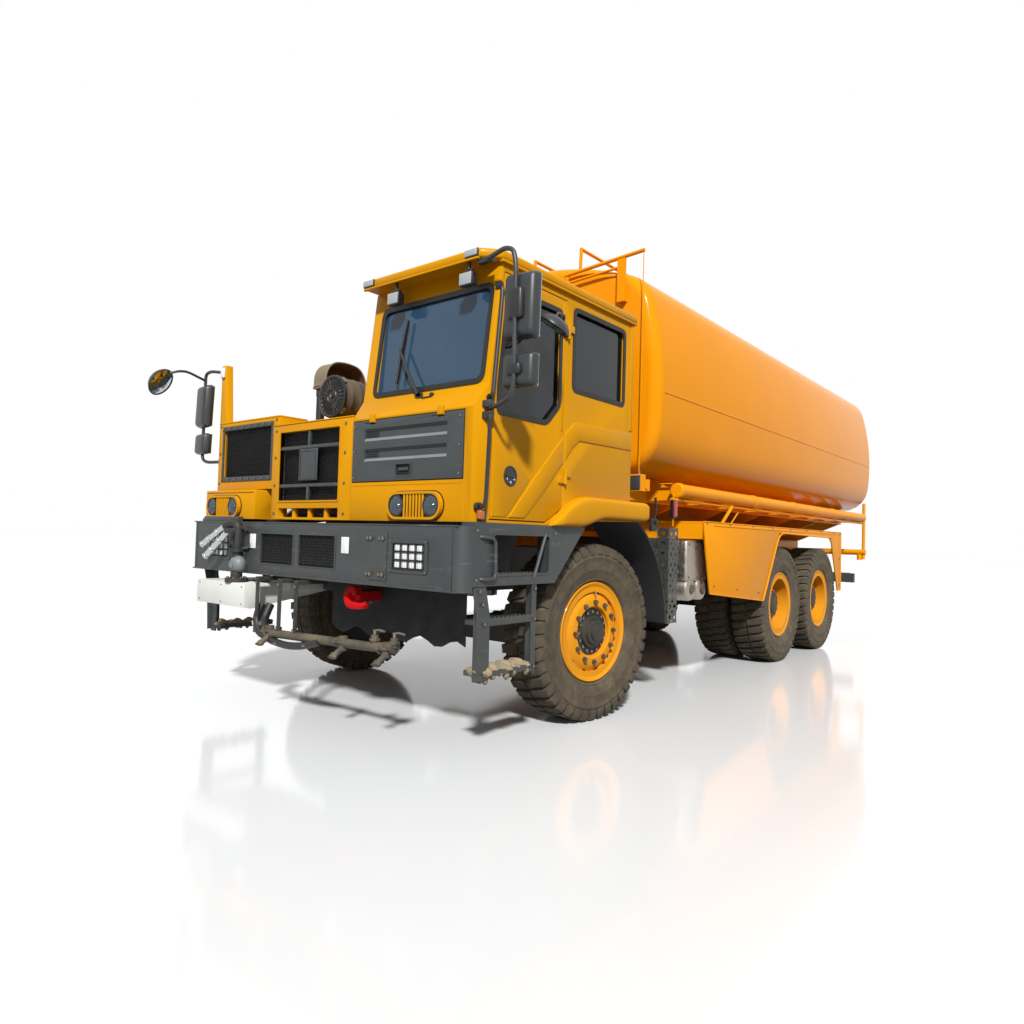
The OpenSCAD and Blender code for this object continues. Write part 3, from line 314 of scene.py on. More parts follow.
def finished(name, bm, looks, body=CHASSIS, replaces=(), sharp=35, recalculate=True):
    """Turns a bmesh into a piece of the truck that rides on a body, with the finishes that looks names."""
    if recalculate:
        bmesh.ops.recalc_face_normals(bm, faces=bm.faces)
    mesh = into_mesh(name, bm)
    for look in looks.split():
        mesh.materials.append(finish(look))
    mesh.shade_smooth()
    mesh.set_sharp_from_angle(angle=math.radians(sharp))
    piece = linked(name, mesh)
    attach(piece, body)
    if replaces:
        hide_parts(*replaces)
    return piece


def merged_copy(node):
    """A copy of a CAD node's mesh as clean flat faces."""
    bm = bmesh.new()
    bm.from_mesh(frame["nodes"][node].data)
    bmesh.ops.remove_doubles(bm, verts=bm.verts, dist=2e-4)
    bmesh.ops.dissolve_limit(bm, angle_limit=math.radians(0.8), verts=bm.verts, edges=bm.edges)
    return bm


def eased(node, width, looks, body=CHASSIS, least=3.0, leave_out=None):
    """A CAD node with its sharp edges folded round, standing in for the node.

    Vertices that leave_out picks are dropped and the hole they leave is closed.
    """
    bm = merged_copy(node)
    if leave_out:
        bmesh.ops.delete(bm, geom=[vert for vert in bm.verts if leave_out(vert.co)], context="VERTS")
        bmesh.ops.holes_fill(bm, edges=[edge for edge in bm.edges if edge.is_boundary], sides=0)
    edges = [
        edge for edge in bm.edges
        if edge.is_manifold and edge.calc_face_angle(0) > math.radians(30) and edge.calc_length() > width * least
    ]
    bmesh.ops.bevel(bm, geom=edges, offset=width, segments=2, profile=0.5, affect="EDGES", material=-1,
                    clamp_overlap=True)
    return finished(node + "_pressed", bm, looks, body, (node,))


# ------------------------------------------------------------------ finishes


def linear(code):
    """A linear RGBA colour from an sRGB hex value."""
    parts = [int(code[i:i + 2], 16) / 255 for i in (1, 3, 5)]
    return (*[v / 12.92 if v <= 0.04045 else ((v + 0.055) / 1.055) ** 2.4 for v in parts], 1)


def feed(tree, node, sockets):
    """Gives a node's inputs what they take: each a value or an output to link."""
    for key, value in sockets.items():
        if isinstance(value, bpy.types.NodeSocket):
            tree.links.new(value, node.inputs[key])
        else:
            node.inputs[key].default_value = value


def add(tree, kind, sockets=None, **settings):
    """Adds a node: settings are its properties, sockets its inputs."""
    node = tree.nodes.new(kind)
    for key, value in settings.items():
        setattr(node, key, value)
    feed(tree, node, sockets or {})
    return node


def begin(name):
    """A new material with its shader, its node tree and its Object coordinates."""
    material = bpy.data.materials.new(name)
    material.use_nodes = True
    tree = material.node_tree
    tree.nodes.clear()
    shader = add(tree, "ShaderNodeBsdfPrincipled")
    add(tree, "ShaderNodeOutputMaterial", {"Surface": shader.outputs["BSDF"]})
    coords = add(tree, "ShaderNodeTexCoord").outputs["Object"]
    return material, tree, shader, coords


def dust_mask(tree, coords, amount, low, high, scale=2.2):
    """How dusty a point is: more towards the ground, and in drifts."""
    height = add(tree, "ShaderNodeSeparateXYZ", {"Vector": coords}).outputs["Z"]
    fall = add(tree, "ShaderNodeMapRange", {"Value": height, "From Min": high, "From Max": low, "To Min": 0.12,
                                            "To Max": 1.0}).outputs["Result"]
    drift = add(tree, "ShaderNodeTexNoise", {"Vector": coords, "Scale": scale, "Detail": 7.0, "Roughness": 0.62})
    ramp = add(tree, "ShaderNodeMapRange", {"Value": drift.outputs["Fac"], "From Min": 0.38, "From Max": 0.72})
    both = add(tree, "ShaderNodeMath", {0: fall, 1: ramp.outputs["Result"]}, operation="MULTIPLY")
    return add(tree, "ShaderNodeMath", {0: both.outputs[0], 1: amount}, operation="MULTIPLY", use_clamp=True).outputs[0]


def sprayed_enamel(name, code, dusty=0.25, rough=0.3, low=0.7, high=2.4, shade=0.82):
    """Two-pack enamel sprayed on sheet steel: a hard gloss, soft orange peel and road dust low down."""
    material, tree, shader, coords = begin(name)
    # Drifts of tone about 0.8 m across, as the coat varies in thickness over big panels
    tone = add(tree, "ShaderNodeTexNoise", {"Vector": coords, "Scale": 1.25, "Detail": 3.0})
    deep = tuple(c * shade for c in linear(code)[:3]) + (1,)
    base = add(tree, "ShaderNodeMix", {0: tone.outputs["Fac"], 6: deep, 7: linear(code)}, data_type="RGBA").outputs[2]
    mask = dust_mask(tree, coords, dusty, low, high)
    dusted = add(tree, "ShaderNodeMix", {0: mask, 6: base, 7: linear(colours().mud)}, data_type="RGBA").outputs[2]
    gloss = add(tree, "ShaderNodeMapRange", {"Value": mask, "To Min": rough, "To Max": 0.78})
    # Orange peel is about 2 mm; drawn at 12 mm so that it still breaks the highlights
    peel = add(tree, "ShaderNodeTexNoise", {"Vector": coords, "Scale": 80.0, "Detail": 2.0})
    # Oil-canning of thin sheet, about 0.4 m
    wave = add(tree, "ShaderNodeTexNoise", {"Vector": coords, "Scale": 2.5, "Detail": 1.0})
    fine = add(tree, "ShaderNodeBump", {"Height": peel.outputs["Fac"], "Strength": 0.06, "Distance": 0.001})
    bump = add(tree, "ShaderNodeBump", {"Height": wave.outputs["Fac"], "Strength": 0.25, "Distance": 0.012,
                                        "Normal": fine.outputs["Normal"]})
    feed(tree, shader, {"Base Color": dusted, "Roughness": gloss.outputs["Result"], "Normal": bump.outputs["Normal"],
                        "Specular IOR Level": 0.04, "Coat Weight": 0.05, "Coat Roughness": 0.12})
    return material


def powder_coat(name, code, dusty=0.5, rough=0.5, low=0.5, high=1.7, grit=220.0, lift=1.35, scuffs=0.0):
    """Textured powder coat or satin chassis paint: fine grit, light scuffs and dust in drifts."""
    material, tree, shader, coords = begin(name)
    tone = add(tree, "ShaderNodeTexNoise", {"Vector": coords, "Scale": 5.0, "Detail": 6.0, "Roughness": 0.6})
    bright = tuple(min(1, c * lift) for c in linear(code)[:3]) + (1,)
    base = add(tree, "ShaderNodeMix", {0: tone.outputs["Fac"], 6: linear(code), 7: bright}, data_type="RGBA").outputs[2]
    if scuffs:
        # Rubbed patches and scratches run along the bumper, about 0.3 m long and 20 mm high
        along = add(tree, "ShaderNodeMapping", {"Vector": coords, "Scale": (3.0, 3.0, 22.0)}).outputs[0]
        rubbed = add(tree, "ShaderNodeTexNoise", {"Vector": along, "Scale": 1.0, "Detail": 12.0, "Roughness": 0.78})
        marks = add(tree, "ShaderNodeMapRange", {"Value": rubbed.outputs["Fac"], "From Min": 0.58, "From Max": 0.7,
                                                 "To Max": scuffs})
        base = add(tree, "ShaderNodeMix", {0: marks.outputs["Result"], 6: base, 7: linear("#8E918F")},
                   data_type="RGBA").outputs[2]
    mask = dust_mask(tree, coords, dusty, low, high, 4.5)
    gloss = add(tree, "ShaderNodeMapRange", {"Value": mask, "To Min": rough, "To Max": 0.9})
    # Grit of the coat is under 1 mm; drawn at about 4 mm
    grain = add(tree, "ShaderNodeTexNoise", {"Vector": coords, "Scale": grit, "Detail": 2.0})
    bump = add(tree, "ShaderNodeBump", {"Height": grain.outputs["Fac"], "Strength": 0.12, "Distance": 0.001})
    dusted = add(tree, "ShaderNodeMix", {0: mask, 6: base, 7: linear(colours().mud)}, data_type="RGBA").outputs[2]
    feed(tree, shader, {"Base Color": dusted, "Roughness": gloss.outputs["Result"], "Normal": bump.outputs["Normal"]})
    return material


def bare_metal(name, code, rough=0.35, dusty=0.2, scale=30.0, low=0.5, high=1.6):
    """Bare or plated steel: cloudy reflections and a film of dust."""
    material, tree, shader, coords = begin(name)
    cloud = add(tree, "ShaderNodeTexNoise", {"Vector": coords, "Scale": scale, "Detail": 6.0, "Roughness": 0.7})
    dark = tuple(c * 0.55 for c in linear(code)[:3]) + (1,)
    base = add(tree, "ShaderNodeMix", {0: cloud.outputs["Fac"], 6: dark, 7: linear(code)}, data_type="RGBA").outputs[2]
    mask = dust_mask(tree, coords, dusty, low, high, 6.0)
    gloss = add(tree, "ShaderNodeMapRange", {"Value": cloud.outputs["Fac"], "From Min": 0.3, "From Max": 0.7,
                                             "To Min": rough * 0.6, "To Max": rough * 1.5})
    dusted = add(tree, "ShaderNodeMix", {0: mask, 6: base, 7: linear(colours().mud)}, data_type="RGBA").outputs[2]
    feed(tree, shader, {"Base Color": dusted, "Roughness": gloss.outputs["Result"], "Metallic": 1.0})
    return material


def moulded(name, code, rough=0.45, grain=400.0, lift=1.2):
    """Moulded plastic or rubber trim: a fine leather grain of about 1 mm, drawn at 2.5 mm."""
    material, tree, shader, coords = begin(name)
    tone = add(tree, "ShaderNodeTexNoise", {"Vector": coords, "Scale": 9.0, "Detail": 4.0})
    bright = tuple(min(1, c * lift + 0.003) for c in linear(code)[:3]) + (1,)
    cells = add(tree, "ShaderNodeTexVoronoi", {"Vector": coords, "Scale": grain})
    bump = add(tree, "ShaderNodeBump", {"Height": cells.outputs["Distance"], "Strength": 0.1, "Distance": 0.001})
    gloss = add(tree, "ShaderNodeMapRange", {"Value": tone.outputs["Fac"], "To Min": rough * 0.8,
                                             "To Max": rough * 1.25})
    base = add(tree, "ShaderNodeMix", {0: tone.outputs["Fac"], 6: linear(code), 7: bright}, data_type="RGBA").outputs[2]
    feed(tree, shader, {"Base Color": base, "Normal": bump.outputs["Normal"], "Roughness": gloss.outputs["Result"]})
    return material


def tinted_glass(name, code, cover, haze="#3B5A72"):
    """Tinted safety glass: dark, mirror smooth, see-through, with a faint film of dust."""
    material, tree, shader, coords = begin(name)
    film = add(tree, "ShaderNodeTexNoise", {"Vector": coords, "Scale": 3.0, "Detail": 6.0, "Roughness": 0.65})
    gloss = add(tree, "ShaderNodeMapRange", {"Value": film.outputs["Fac"], "From Min": 0.4, "From Max": 0.8,
                                             "To Min": 0.01, "To Max": 0.07})
    tint = add(tree, "ShaderNodeMix", {0: film.outputs["Fac"], 6: linear(code), 7: linear(haze)},
               data_type="RGBA").outputs[2]
    feed(tree, shader, {"Roughness": gloss.outputs["Result"], "Base Color": tint, "Alpha": cover,
                        "Specular IOR Level": 0.35, "Coat Weight": 0.25, "Coat Roughness": 0.02})
    return material


def tyre_rubber():
    """Vulcanised rubber under dried mud: the mud lies where the vertices' dirt value says, in cracked drifts."""
    material, tree, shader, coords = begin("dusty_tyre_rubber")
    dirt = add(tree, "ShaderNodeAttribute", attribute_name="dirt").outputs["Fac"]
    drift = add(tree, "ShaderNodeTexNoise", {"Vector": coords, "Scale": 7.0, "Detail": 8.0, "Roughness": 0.7})
    lift = add(tree, "ShaderNodeMapRange", {"Value": drift.outputs["Fac"], "From Min": 0.3, "From Max": 0.7,
                                            "To Min": -0.35, "To Max": 0.35})
    both = add(tree, "ShaderNodeMath", {0: dirt, 1: lift.outputs["Result"]}, operation="ADD", use_clamp=True)
    # Mud splashes about 3 cm across over the drifts
    splash = add(tree, "ShaderNodeTexNoise", {"Vector": coords, "Scale": 32.0, "Detail": 4.0})
    worn = add(tree, "ShaderNodeMix", {0: splash.outputs["Fac"], 6: linear(colours().rubber), 7: linear("#383229")},
               data_type="RGBA").outputs[2]
    mud = add(tree, "ShaderNodeMix", {0: splash.outputs["Fac"], 6: linear("#514635"), 7: linear("#7C6E56")},
              data_type="RGBA").outputs[2]
    grit = add(tree, "ShaderNodeTexNoise", {"Vector": coords, "Scale": 90.0, "Detail": 4.0})
    bump = add(tree, "ShaderNodeBump", {"Height": grit.outputs["Fac"], "Strength": 0.5, "Distance": 0.004})
    muddied = add(tree, "ShaderNodeMix", {0: both.outputs[0], 6: worn, 7: mud}, data_type="RGBA").outputs[2]
    feed(tree, shader, {"Base Color": muddied, "Roughness": 0.88, "Normal": bump.outputs["Normal"]})
    return material


def caked_mud():
    """Dried clay caked on steel: matt, crumbly, in lumps of 10 to 30 mm."""
    material, tree, shader, coords = begin("caked_mud")
    lumps = add(tree, "ShaderNodeTexNoise", {"Vector": coords, "Scale": 24.0, "Detail": 8.0, "Roughness": 0.7})
    bump = add(tree, "ShaderNodeBump", {"Height": lumps.outputs["Fac"], "Strength": 0.8, "Distance": 0.012})
    base = add(tree, "ShaderNodeMix", {0: lumps.outputs["Fac"], 6: linear("#6E604B"), 7: linear("#B5A689")},
               data_type="RGBA").outputs[2]
    feed(tree, shader, {"Base Color": base, "Roughness": 0.95, "Normal": bump.outputs["Normal"]})
    return material


def woven_cloth(name, code):
    """Coarse woven seat cloth: threads of 1 mm, drawn at 6 mm so that the weave shows."""
    material, tree, shader, coords = begin(name)
    across = add(tree, "ShaderNodeTexWave", {"Vector": coords, "Scale": 26.0}, bands_direction="X")
    along = add(tree, "ShaderNodeTexWave", {"Vector": coords, "Scale": 26.0}, bands_direction="Z")
    weave = add(tree, "ShaderNodeMath", {0: across.outputs["Fac"], 1: along.outputs["Fac"]}, operation="MULTIPLY")
    bright = tuple(c * 1.8 + 0.01 for c in linear(code)[:3]) + (1,)
    bump = add(tree, "ShaderNodeBump", {"Height": weave.outputs[0], "Strength": 0.4, "Distance": 0.002})
    base = add(tree, "ShaderNodeMix", {0: weave.outputs[0], 6: linear(code), 7: bright}, data_type="RGBA").outputs[2]
    feed(tree, shader, {"Base Color": base, "Roughness": 0.9, "Sheen Weight": 0.3, "Normal": bump.outputs["Normal"]})
    return material


def lens(name, code, rough=0.12):
    """Ribbed polycarbonate lens: ribs of about 8 mm under a clear gloss."""
    material, tree, shader, coords = begin(name)
    ribs = add(tree, "ShaderNodeTexWave", {"Vector": coords, "Scale": 18.0}, bands_direction="X")
    bright = tuple(min(1, c * 1.5 + 0.01) for c in linear(code)[:3]) + (1,)
    bump = add(tree, "ShaderNodeBump", {"Height": ribs.outputs["Fac"], "Strength": 0.4, "Distance": 0.004})
    base = add(tree, "ShaderNodeMix", {0: ribs.outputs["Fac"], 6: linear(code), 7: bright}, data_type="RGBA").outputs[2]
    feed(tree, shader, {"Base Color": base, "Normal": bump.outputs["Normal"], "Roughness": rough, "Coat Weight": 0.3})
    return material


FINISHES = {}


def finish(name):
    """The finish of that name, made once."""
    makers = {
        "cab": lambda: sprayed_enamel("cab_enamel", colours().cab, dusty=0.05, rough=0.3),
        "tank": lambda: sprayed_enamel("tank_enamel", colours().tank, dusty=0.05, rough=0.2, shade=0.9),
        "guard": lambda: sprayed_enamel("mudguard_enamel", "#F79E08", dusty=0.07, rough=0.36, low=0.6, high=1.7),
        "rim": lambda: sprayed_enamel("rim_enamel", "#EC9B12", dusty=0.3, rough=0.42, low=0.1, high=1.3),
        "grey": lambda: powder_coat("bumper_powder_coat", colours().grey, dusty=0.16, lift=1.25, scuffs=0.4),
        # Black chassis paint, also laid as painted shade on the inner side of the front rims
        "black": lambda: powder_coat("chassis_black_paint_and_painted_shade", "#121314", dusty=0.22, rough=0.6),
        # Black rubber of the arch liners, also laid as painted shade behind grille and bumper mesh, in recesses and
        # holes, and under the nose
        "liner": lambda: moulded("black_liner_rubber_and_painted_shade", "#0D0D0E", rough=0.8),
        "trim": lambda: moulded("black_moulded_plastic", "#141517", rough=0.4),
        "mirror_shell": lambda: moulded("mirror_shell_abs", "#26282A", rough=0.38, lift=1.5),
        "seal": lambda: moulded("window_seal_rubber", "#0B0B0C", rough=0.55),
        "guardsteel": lambda: powder_coat("perforated_steel", "#2C3031", dusty=0.3, rough=0.45),
        "mesh": lambda: powder_coat("woven_mesh_steel", "#9C9F9C", dusty=0.3, rough=0.5, low=1.0, high=2.6),
        "steel": lambda: bare_metal("bare_sheet_steel", "#B5AFA5", rough=0.4, dusty=0.35),
        "chrome": lambda: bare_metal("bright_plated_steel", "#D9DADB", rough=0.12, dusty=0.1, scale=12.0),
        "bolt": lambda: bare_metal("zinc_plated_bolts", "#8E8A82", rough=0.45, dusty=0.5, scale=60.0),
        "rust": lambda: powder_coat("rusty_casting", "#4B3B30", dusty=0.6, rough=0.8, lift=1.8),
        "dusty": lambda: powder_coat("dusty_air_filter", "#3A342B", dusty=0.6, rough=0.75, low=2.2, high=3.4, lift=1.6),
        "hood_dust": lambda: powder_coat("dust_coated_duct", "#6B6353", dusty=0.6, rough=0.85, low=2.2, high=3.4,
                                         lift=1.7),
        "duct_inside": lambda: powder_coat("rusted_duct_inside", "#5A3A22", dusty=0.1, rough=0.9, lift=1.6),
        "pipe": lambda: powder_coat("worn_pipe_paint", "#34322E", dusty=0.85, rough=0.6, low=0.2, high=1.4),
        "white": lambda: powder_coat("white_enamel", "#DDE0DA", dusty=0.12, rough=0.35, lift=1.04),
        "red": lambda: sprayed_enamel("red_hook_paint", "#D2121C", dusty=0.12, rough=0.35, low=0.4, high=1.2),
        "glass": lambda: tinted_glass("tinted_safety_glass", "#203F5C", 0.82),
        "dark_glass": lambda: tinted_glass("dark_side_glass", "#0B1013", 0.88, "#1C252B"),
        "mirror": lambda: bare_metal("mirror_glass", "#C9D2D8", rough=0.03, dusty=0.0, scale=2.0),
        "lamp": lambda: tinted_glass("clear_lamp_glass", "#59626A", 0.3),
        "bowl": lambda: bare_metal("lamp_reflector", "#6A6E72", rough=0.2, dusty=0.0, scale=14.0),
        "lamp_face": lambda: moulded("lamp_face_polycarbonate", "#A2A7AA", rough=0.3, lift=1.15),
        # Light grey paint of the ball valve and the punched patches, also a painted highlight on the louvre lips
        "lip": lambda: powder_coat("light_grey_paint_and_painted_highlight", "#6F7577", dusty=0.1, rough=0.45),
        "led": lambda: lens("white_led_lens", "#DADEE0", rough=0.3),
        "amber": lambda: lens("amber_lens", "#A34E00", rough=0.25),
        "red_lens": lambda: lens("red_lens", "#B01018"),
        "mud": caked_mud,
        "tyre": tyre_rubber,
        "cloth": lambda: woven_cloth("seat_cloth", "#1C1D20"),
        "hose": lambda: moulded("rubber_hose", "#161616", rough=0.5),
        "reflector": lambda: lens("white_reflector", "#E6E8EA"),
    }
    if name not in FINISHES:
        FINISHES[name] = makers[name]()
    return FINISHES[name]


NODE_FINISH = {node: look for look, nodes in {
    "black": "chassis_frame engine_block front_axle suspension rear_axles knuckle_left knuckle_right "
             "tie_rod",
    "rim": "rim_front_left rim_front_right rims_first_left rims_first_right rims_second_left "
           "rims_second_right",
    "tyre": "tyre_front_left tyre_front_right tyres_first_left tyres_first_right tyres_second_left "
            "tyres_second_right",
    "grey": "front_bumper service_panel front_steps rear_bumper",
    "red": "tow_hook",
    "cab": "cab_shell cab_roof cab_door middle_grille right_hood front_fenders",
    "dark_glass": "door_glass",
    "glass": "cab_glass",
    "cloth": "driver_seat",
    "trim": "steering_wheel dashboard",
    "lamp": "headlamps",
    "dusty": "air_cleaner",
    "mirror_shell": "mirrors",
    "guardsteel": "side_guards",
    "steel": "silencer fuel_tank",
    "tank": "tank manhole_lid tank_rails",
    "guard": "tank_cradle level_gauge hose_tubes rear_fenders rear_spray_bar",
    "pipe": "front_spray_bar",
    "white": "valve_box",
}.items() for node in nodes.split()}


# ------------------------------------------------------------------ stage


class TANKER_OT_stage(bpy.types.Operator):
    """Add the pale floor, the soft light and the camera"""

    bl_idname = "tanker.stage"
    bl_label = "Stage"

    def execute(self, context):
        scene = context.scene
        scene.view_settings.view_transform = "Standard"
        material, tree, shader, coords = begin("studio_floor")
        # Faint polish marks in painted concrete, about 0.7 m across
        marks = add(tree, "ShaderNodeTexNoise", {"Vector": coords, "Scale": 1.4, "Detail": 5.0})
        gloss = add(tree, "ShaderNodeMapRange", {"Value": marks.outputs["Fac"], "To Min": 0.08, "To Max": 0.13})
        # The floor sends little light back up, so the belly of the tank and the axles stay dark
        bounce = add(tree, "ShaderNodeLightPath").outputs["Is Diffuse Ray"]
        base = add(tree, "ShaderNodeMix", {0: bounce, 6: linear("#F4F6F8"), 7: linear("#636567")}, data_type="RGBA")
        feed(tree, shader, {"Roughness": gloss.outputs["Result"], "Base Color": base.outputs[2]})
        bm = bmesh.new()
        bmesh.ops.create_circle(bm, cap_ends=True, segments=64, radius=120)
        mesh = into_mesh("studio_floor", bm)
        mesh.materials.append(material)
        floor = linked("studio_floor", mesh)

        world = bpy.data.worlds.new("studio_light")
        scene.world = world
        world.use_nodes = True
        sky = world.node_tree
        # The backdrop shows white while its light on the truck stays soft
        path = add(sky, "ShaderNodeLightPath").outputs
        seen = add(sky, "ShaderNodeMath", {0: path["Is Camera Ray"], 1: path["Is Glossy Ray"]}, operation="MAXIMUM")
        level = add(sky, "ShaderNodeMapRange", {"Value": seen.outputs[0], "To Min": 0.32, "To Max": 1.0})
        feed(sky, sky.nodes["Background"], {"Color": (1, 1, 1, 1), "Strength": level.outputs["Result"]})

        key = bpy.data.lights.new("key_light", "SUN")
        key.energy = 4.3
        key.angle = math.radians(5)
        key.color = (1.0, 0.99, 0.97)
        towards_sun = Vector((0.51, -0.59, 0.63))
        linked("key_light", key).rotation_euler = towards_sun.to_track_quat("Z", "Y").to_euler()

        camera = bpy.data.cameras.new("camera")
        camera.lens = 25.66
        camera.sensor_width = 36
        camera.clip_end = 500
        holder = linked("camera", camera)
        yaw, pitch, roll = math.radians(39.189), math.radians(1.975), math.radians(1.666)
        ahead = Vector((-math.sin(yaw) * math.cos(pitch), math.cos(yaw) * math.cos(pitch), math.sin(pitch)))
        level = ahead.cross(Vector((0, 0, 1))).normalized()
        upright = level.cross(ahead)
        right = level * math.cos(roll) + upright * math.sin(roll)
        up = upright * math.cos(roll) - level * math.sin(roll)
        turn = Matrix((right, up, -ahead)).transposed()
        holder.matrix_world = Matrix.Translation((4.539, -7.938, 1.366)) @ turn.to_4x4()
        scene.camera = holder
        return {"FINISHED"}


# The panes behind this y are dark glass, and the front rims are black inside this x
DARK_PANES_Y = -1.1
RIM_INNER_X = 1.3


class TANKER_OT_paint_frame(bpy.types.Operator):
    """Give every carried-over CAD node its finish"""

    bl_idname = "tanker.paint_frame"
    bl_label = "Paint the frame"

    def execute(self, context):
        for name, node in frame["nodes"].items():
            material = finish(NODE_FINISH[name])
            if not node.material_slots:
                node.data.materials.append(material)
            for place in node.material_slots:
                place.material = material
        # The side and rear panes are darker than the windscreen
        panes = frame["nodes"]["cab_glass"].data
        panes.materials.append(finish("dark_glass"))
        for face in panes.polygons:
            if face.center.y > AXLE_Y + DARK_PANES_Y:
                face.material_index = len(panes.materials) - 1
        # Painted shade: the inner side of the front rims takes the black chassis paint, as it lies in shadow
        for side in ("left", "right"):
            rim = frame["nodes"]["rim_front_" + side].data
            rim.materials.append(finish("black"))
            for face in rim.polygons:
                if abs(face.center.x) < RIM_INNER_X:
                    face.material_index = len(rim.materials) - 1
        return {"FINISHED"}


# ------------------------------------------------------------------ wheels

TYRE_R = 0.667
TWIN_PITCH = 0.446


def lug_mesh():
    """One tread lug at the top of a tyre, running from the middle over the shoulder."""
    depth = sizes().lug_depth
    half_width = math.pi * TYRE_R / sizes().lugs * 0.66
    bm = bmesh.new()
    outline = [(0.01, 0, TYRE_R - depth - 0.004), (0.01, 0, TYRE_R - 0.001), (0.125, 0, TYRE_R),
               (0.172, 0, TYRE_R - 0.01), (0.188, 0, TYRE_R - 0.05), (0.19, 0, TYRE_R - 0.078),
               (0.18, 0, TYRE_R - 0.086)]
    plate(bm, [Vector(p) - Vector((0, half_width, 0)) for p in outline], (0, 2 * half_width, 0), 0.005)
    # The lugs sweep back a little from the middle to the shoulder
    for vert in bm.verts:
        vert.co.y += (vert.co.x - 0.09) * 0.22
        if vert.co.z > TYRE_R - 0.004:
            vert.co.y *= 0.94
    return into_mesh("lug", bm)


def add_copy(bm, mesh, place):
    """A copy of a mesh placed by a matrix."""
    known = set(bm.verts)
    bm.from_mesh(mesh)
    bmesh.ops.transform(bm, matrix=place, verts=[vert for vert in bm.verts if vert not in known])


def tyre_mesh(lug):
    """One tyre about the local X axis: two staggered rows of lugs and a carcass, each vertex with its dirt."""
    base = TYRE_R - sizes().lug_depth
    count = sizes().lugs
    bm = bmesh.new()
    for stagger, mirror in ((0, Matrix.Identity(4)), (0.5, Matrix.Rotation(math.pi, 4, "Z"))):
        for i in range(count):
            add_copy(bm, lug, Matrix.Rotation(math.tau * (i + stagger) / count, 4, "X") @ mirror)
    side = [(0.332, 0.122), (0.366, 0.13), (0.386, 0.147), (0.398, 0.166), (0.404, 0.163), (0.424, 0.174),
            (0.47, 0.184), (0.476, 0.187), (0.484, 0.185), (0.52, 0.187), (0.556, 0.186), (0.56, 0.189), (0.568, 0.189),
            (0.572, 0.185), (0.6, 0.18), (base - 0.012, 0.168), (base, 0.15)]
    profile = side + [(r, -x) for r, x in reversed(side)]
    spun(bm, profile, Z_TO_X, steps=72)
    layer = bm.verts.layers.float.new("dirt")
    for vert in bm.verts:
        r = math.hypot(vert.co.y, vert.co.z)
        if r > TYRE_R - 0.012:
            vert[layer] = 0.3
        elif r > base - 0.02 and abs(vert.co.x) < 0.17:
            vert[layer] = 0.62
        else:
            vert[layer] = 0.42 + 0.25 * max(0.0, (0.5 - r) / 0.16)
    return into_mesh("tyre", bm)


def axle_place(joint, side, offset=0.0):
    """A matrix whose X points outwards along a wheel's axle, at the wheel's middle."""
    info = JOINTS[joint]
    out = Vector(info["axis"]).normalized() * side
    up = Vector((0, 0, 1))
    along = up.cross(out).normalized()
    turn = Matrix((out, along, up)).transposed().to_4x4()
    return Matrix.Translation(Vector(info["pos_m"]) + out * offset) @ turn


WHEELS = [
    (wheel, "spin_" + wheel, ("wheel_" if "front" in wheel else "twin_") + wheel, 1 if "left" in wheel else -1,
     ("tyre_" if "front" in wheel else "tyres_") + wheel)
    for wheel in ("front_left", "front_right", "first_left", "first_right", "second_left", "second_right")
]


class TANKER_OT_tyres(bpy.types.Operator):
    """Add the lugged off-road tyres"""

    bl_idname = "tanker.tyres"
    bl_label = "Tyres"

    def execute(self, context):
        lug = lug_mesh()
        tyre = tyre_mesh(lug)
        for i, (name, joint, body, side, node) in enumerate(WHEELS):
            bm = bmesh.new()
            offsets = [0.0] if "front" in name else [-TWIN_PITCH / 2, TWIN_PITCH / 2]
            for k, offset in enumerate(offsets):
                # Each tyre is turned by a part of a lug's pitch, so that no two stand alike
                turn = Matrix.Rotation(math.tau * (i * 0.37 + k * 0.5) / sizes().lugs, 4, "X")
                add_copy(bm, tyre, axle_place(joint, side, offset) @ turn)
            finished("lugged_tyre_" + name, bm, "tyre", body, (node,), sharp=40)
        bpy.data.meshes.remove(lug)
        bpy.data.meshes.remove(tyre)
        return {"FINISHED"}


def bolt_circle(bm, place, r, x, count, across, height):
    """A circle of hexagon bolts round a wheel's axle."""
    out = (place.to_3x3() @ Vector((1, 0, 0))).normalized()
    for c, s in around(count):
        hexagon(bm, place @ Vector((x, r * s, r * c)), out, across, height)


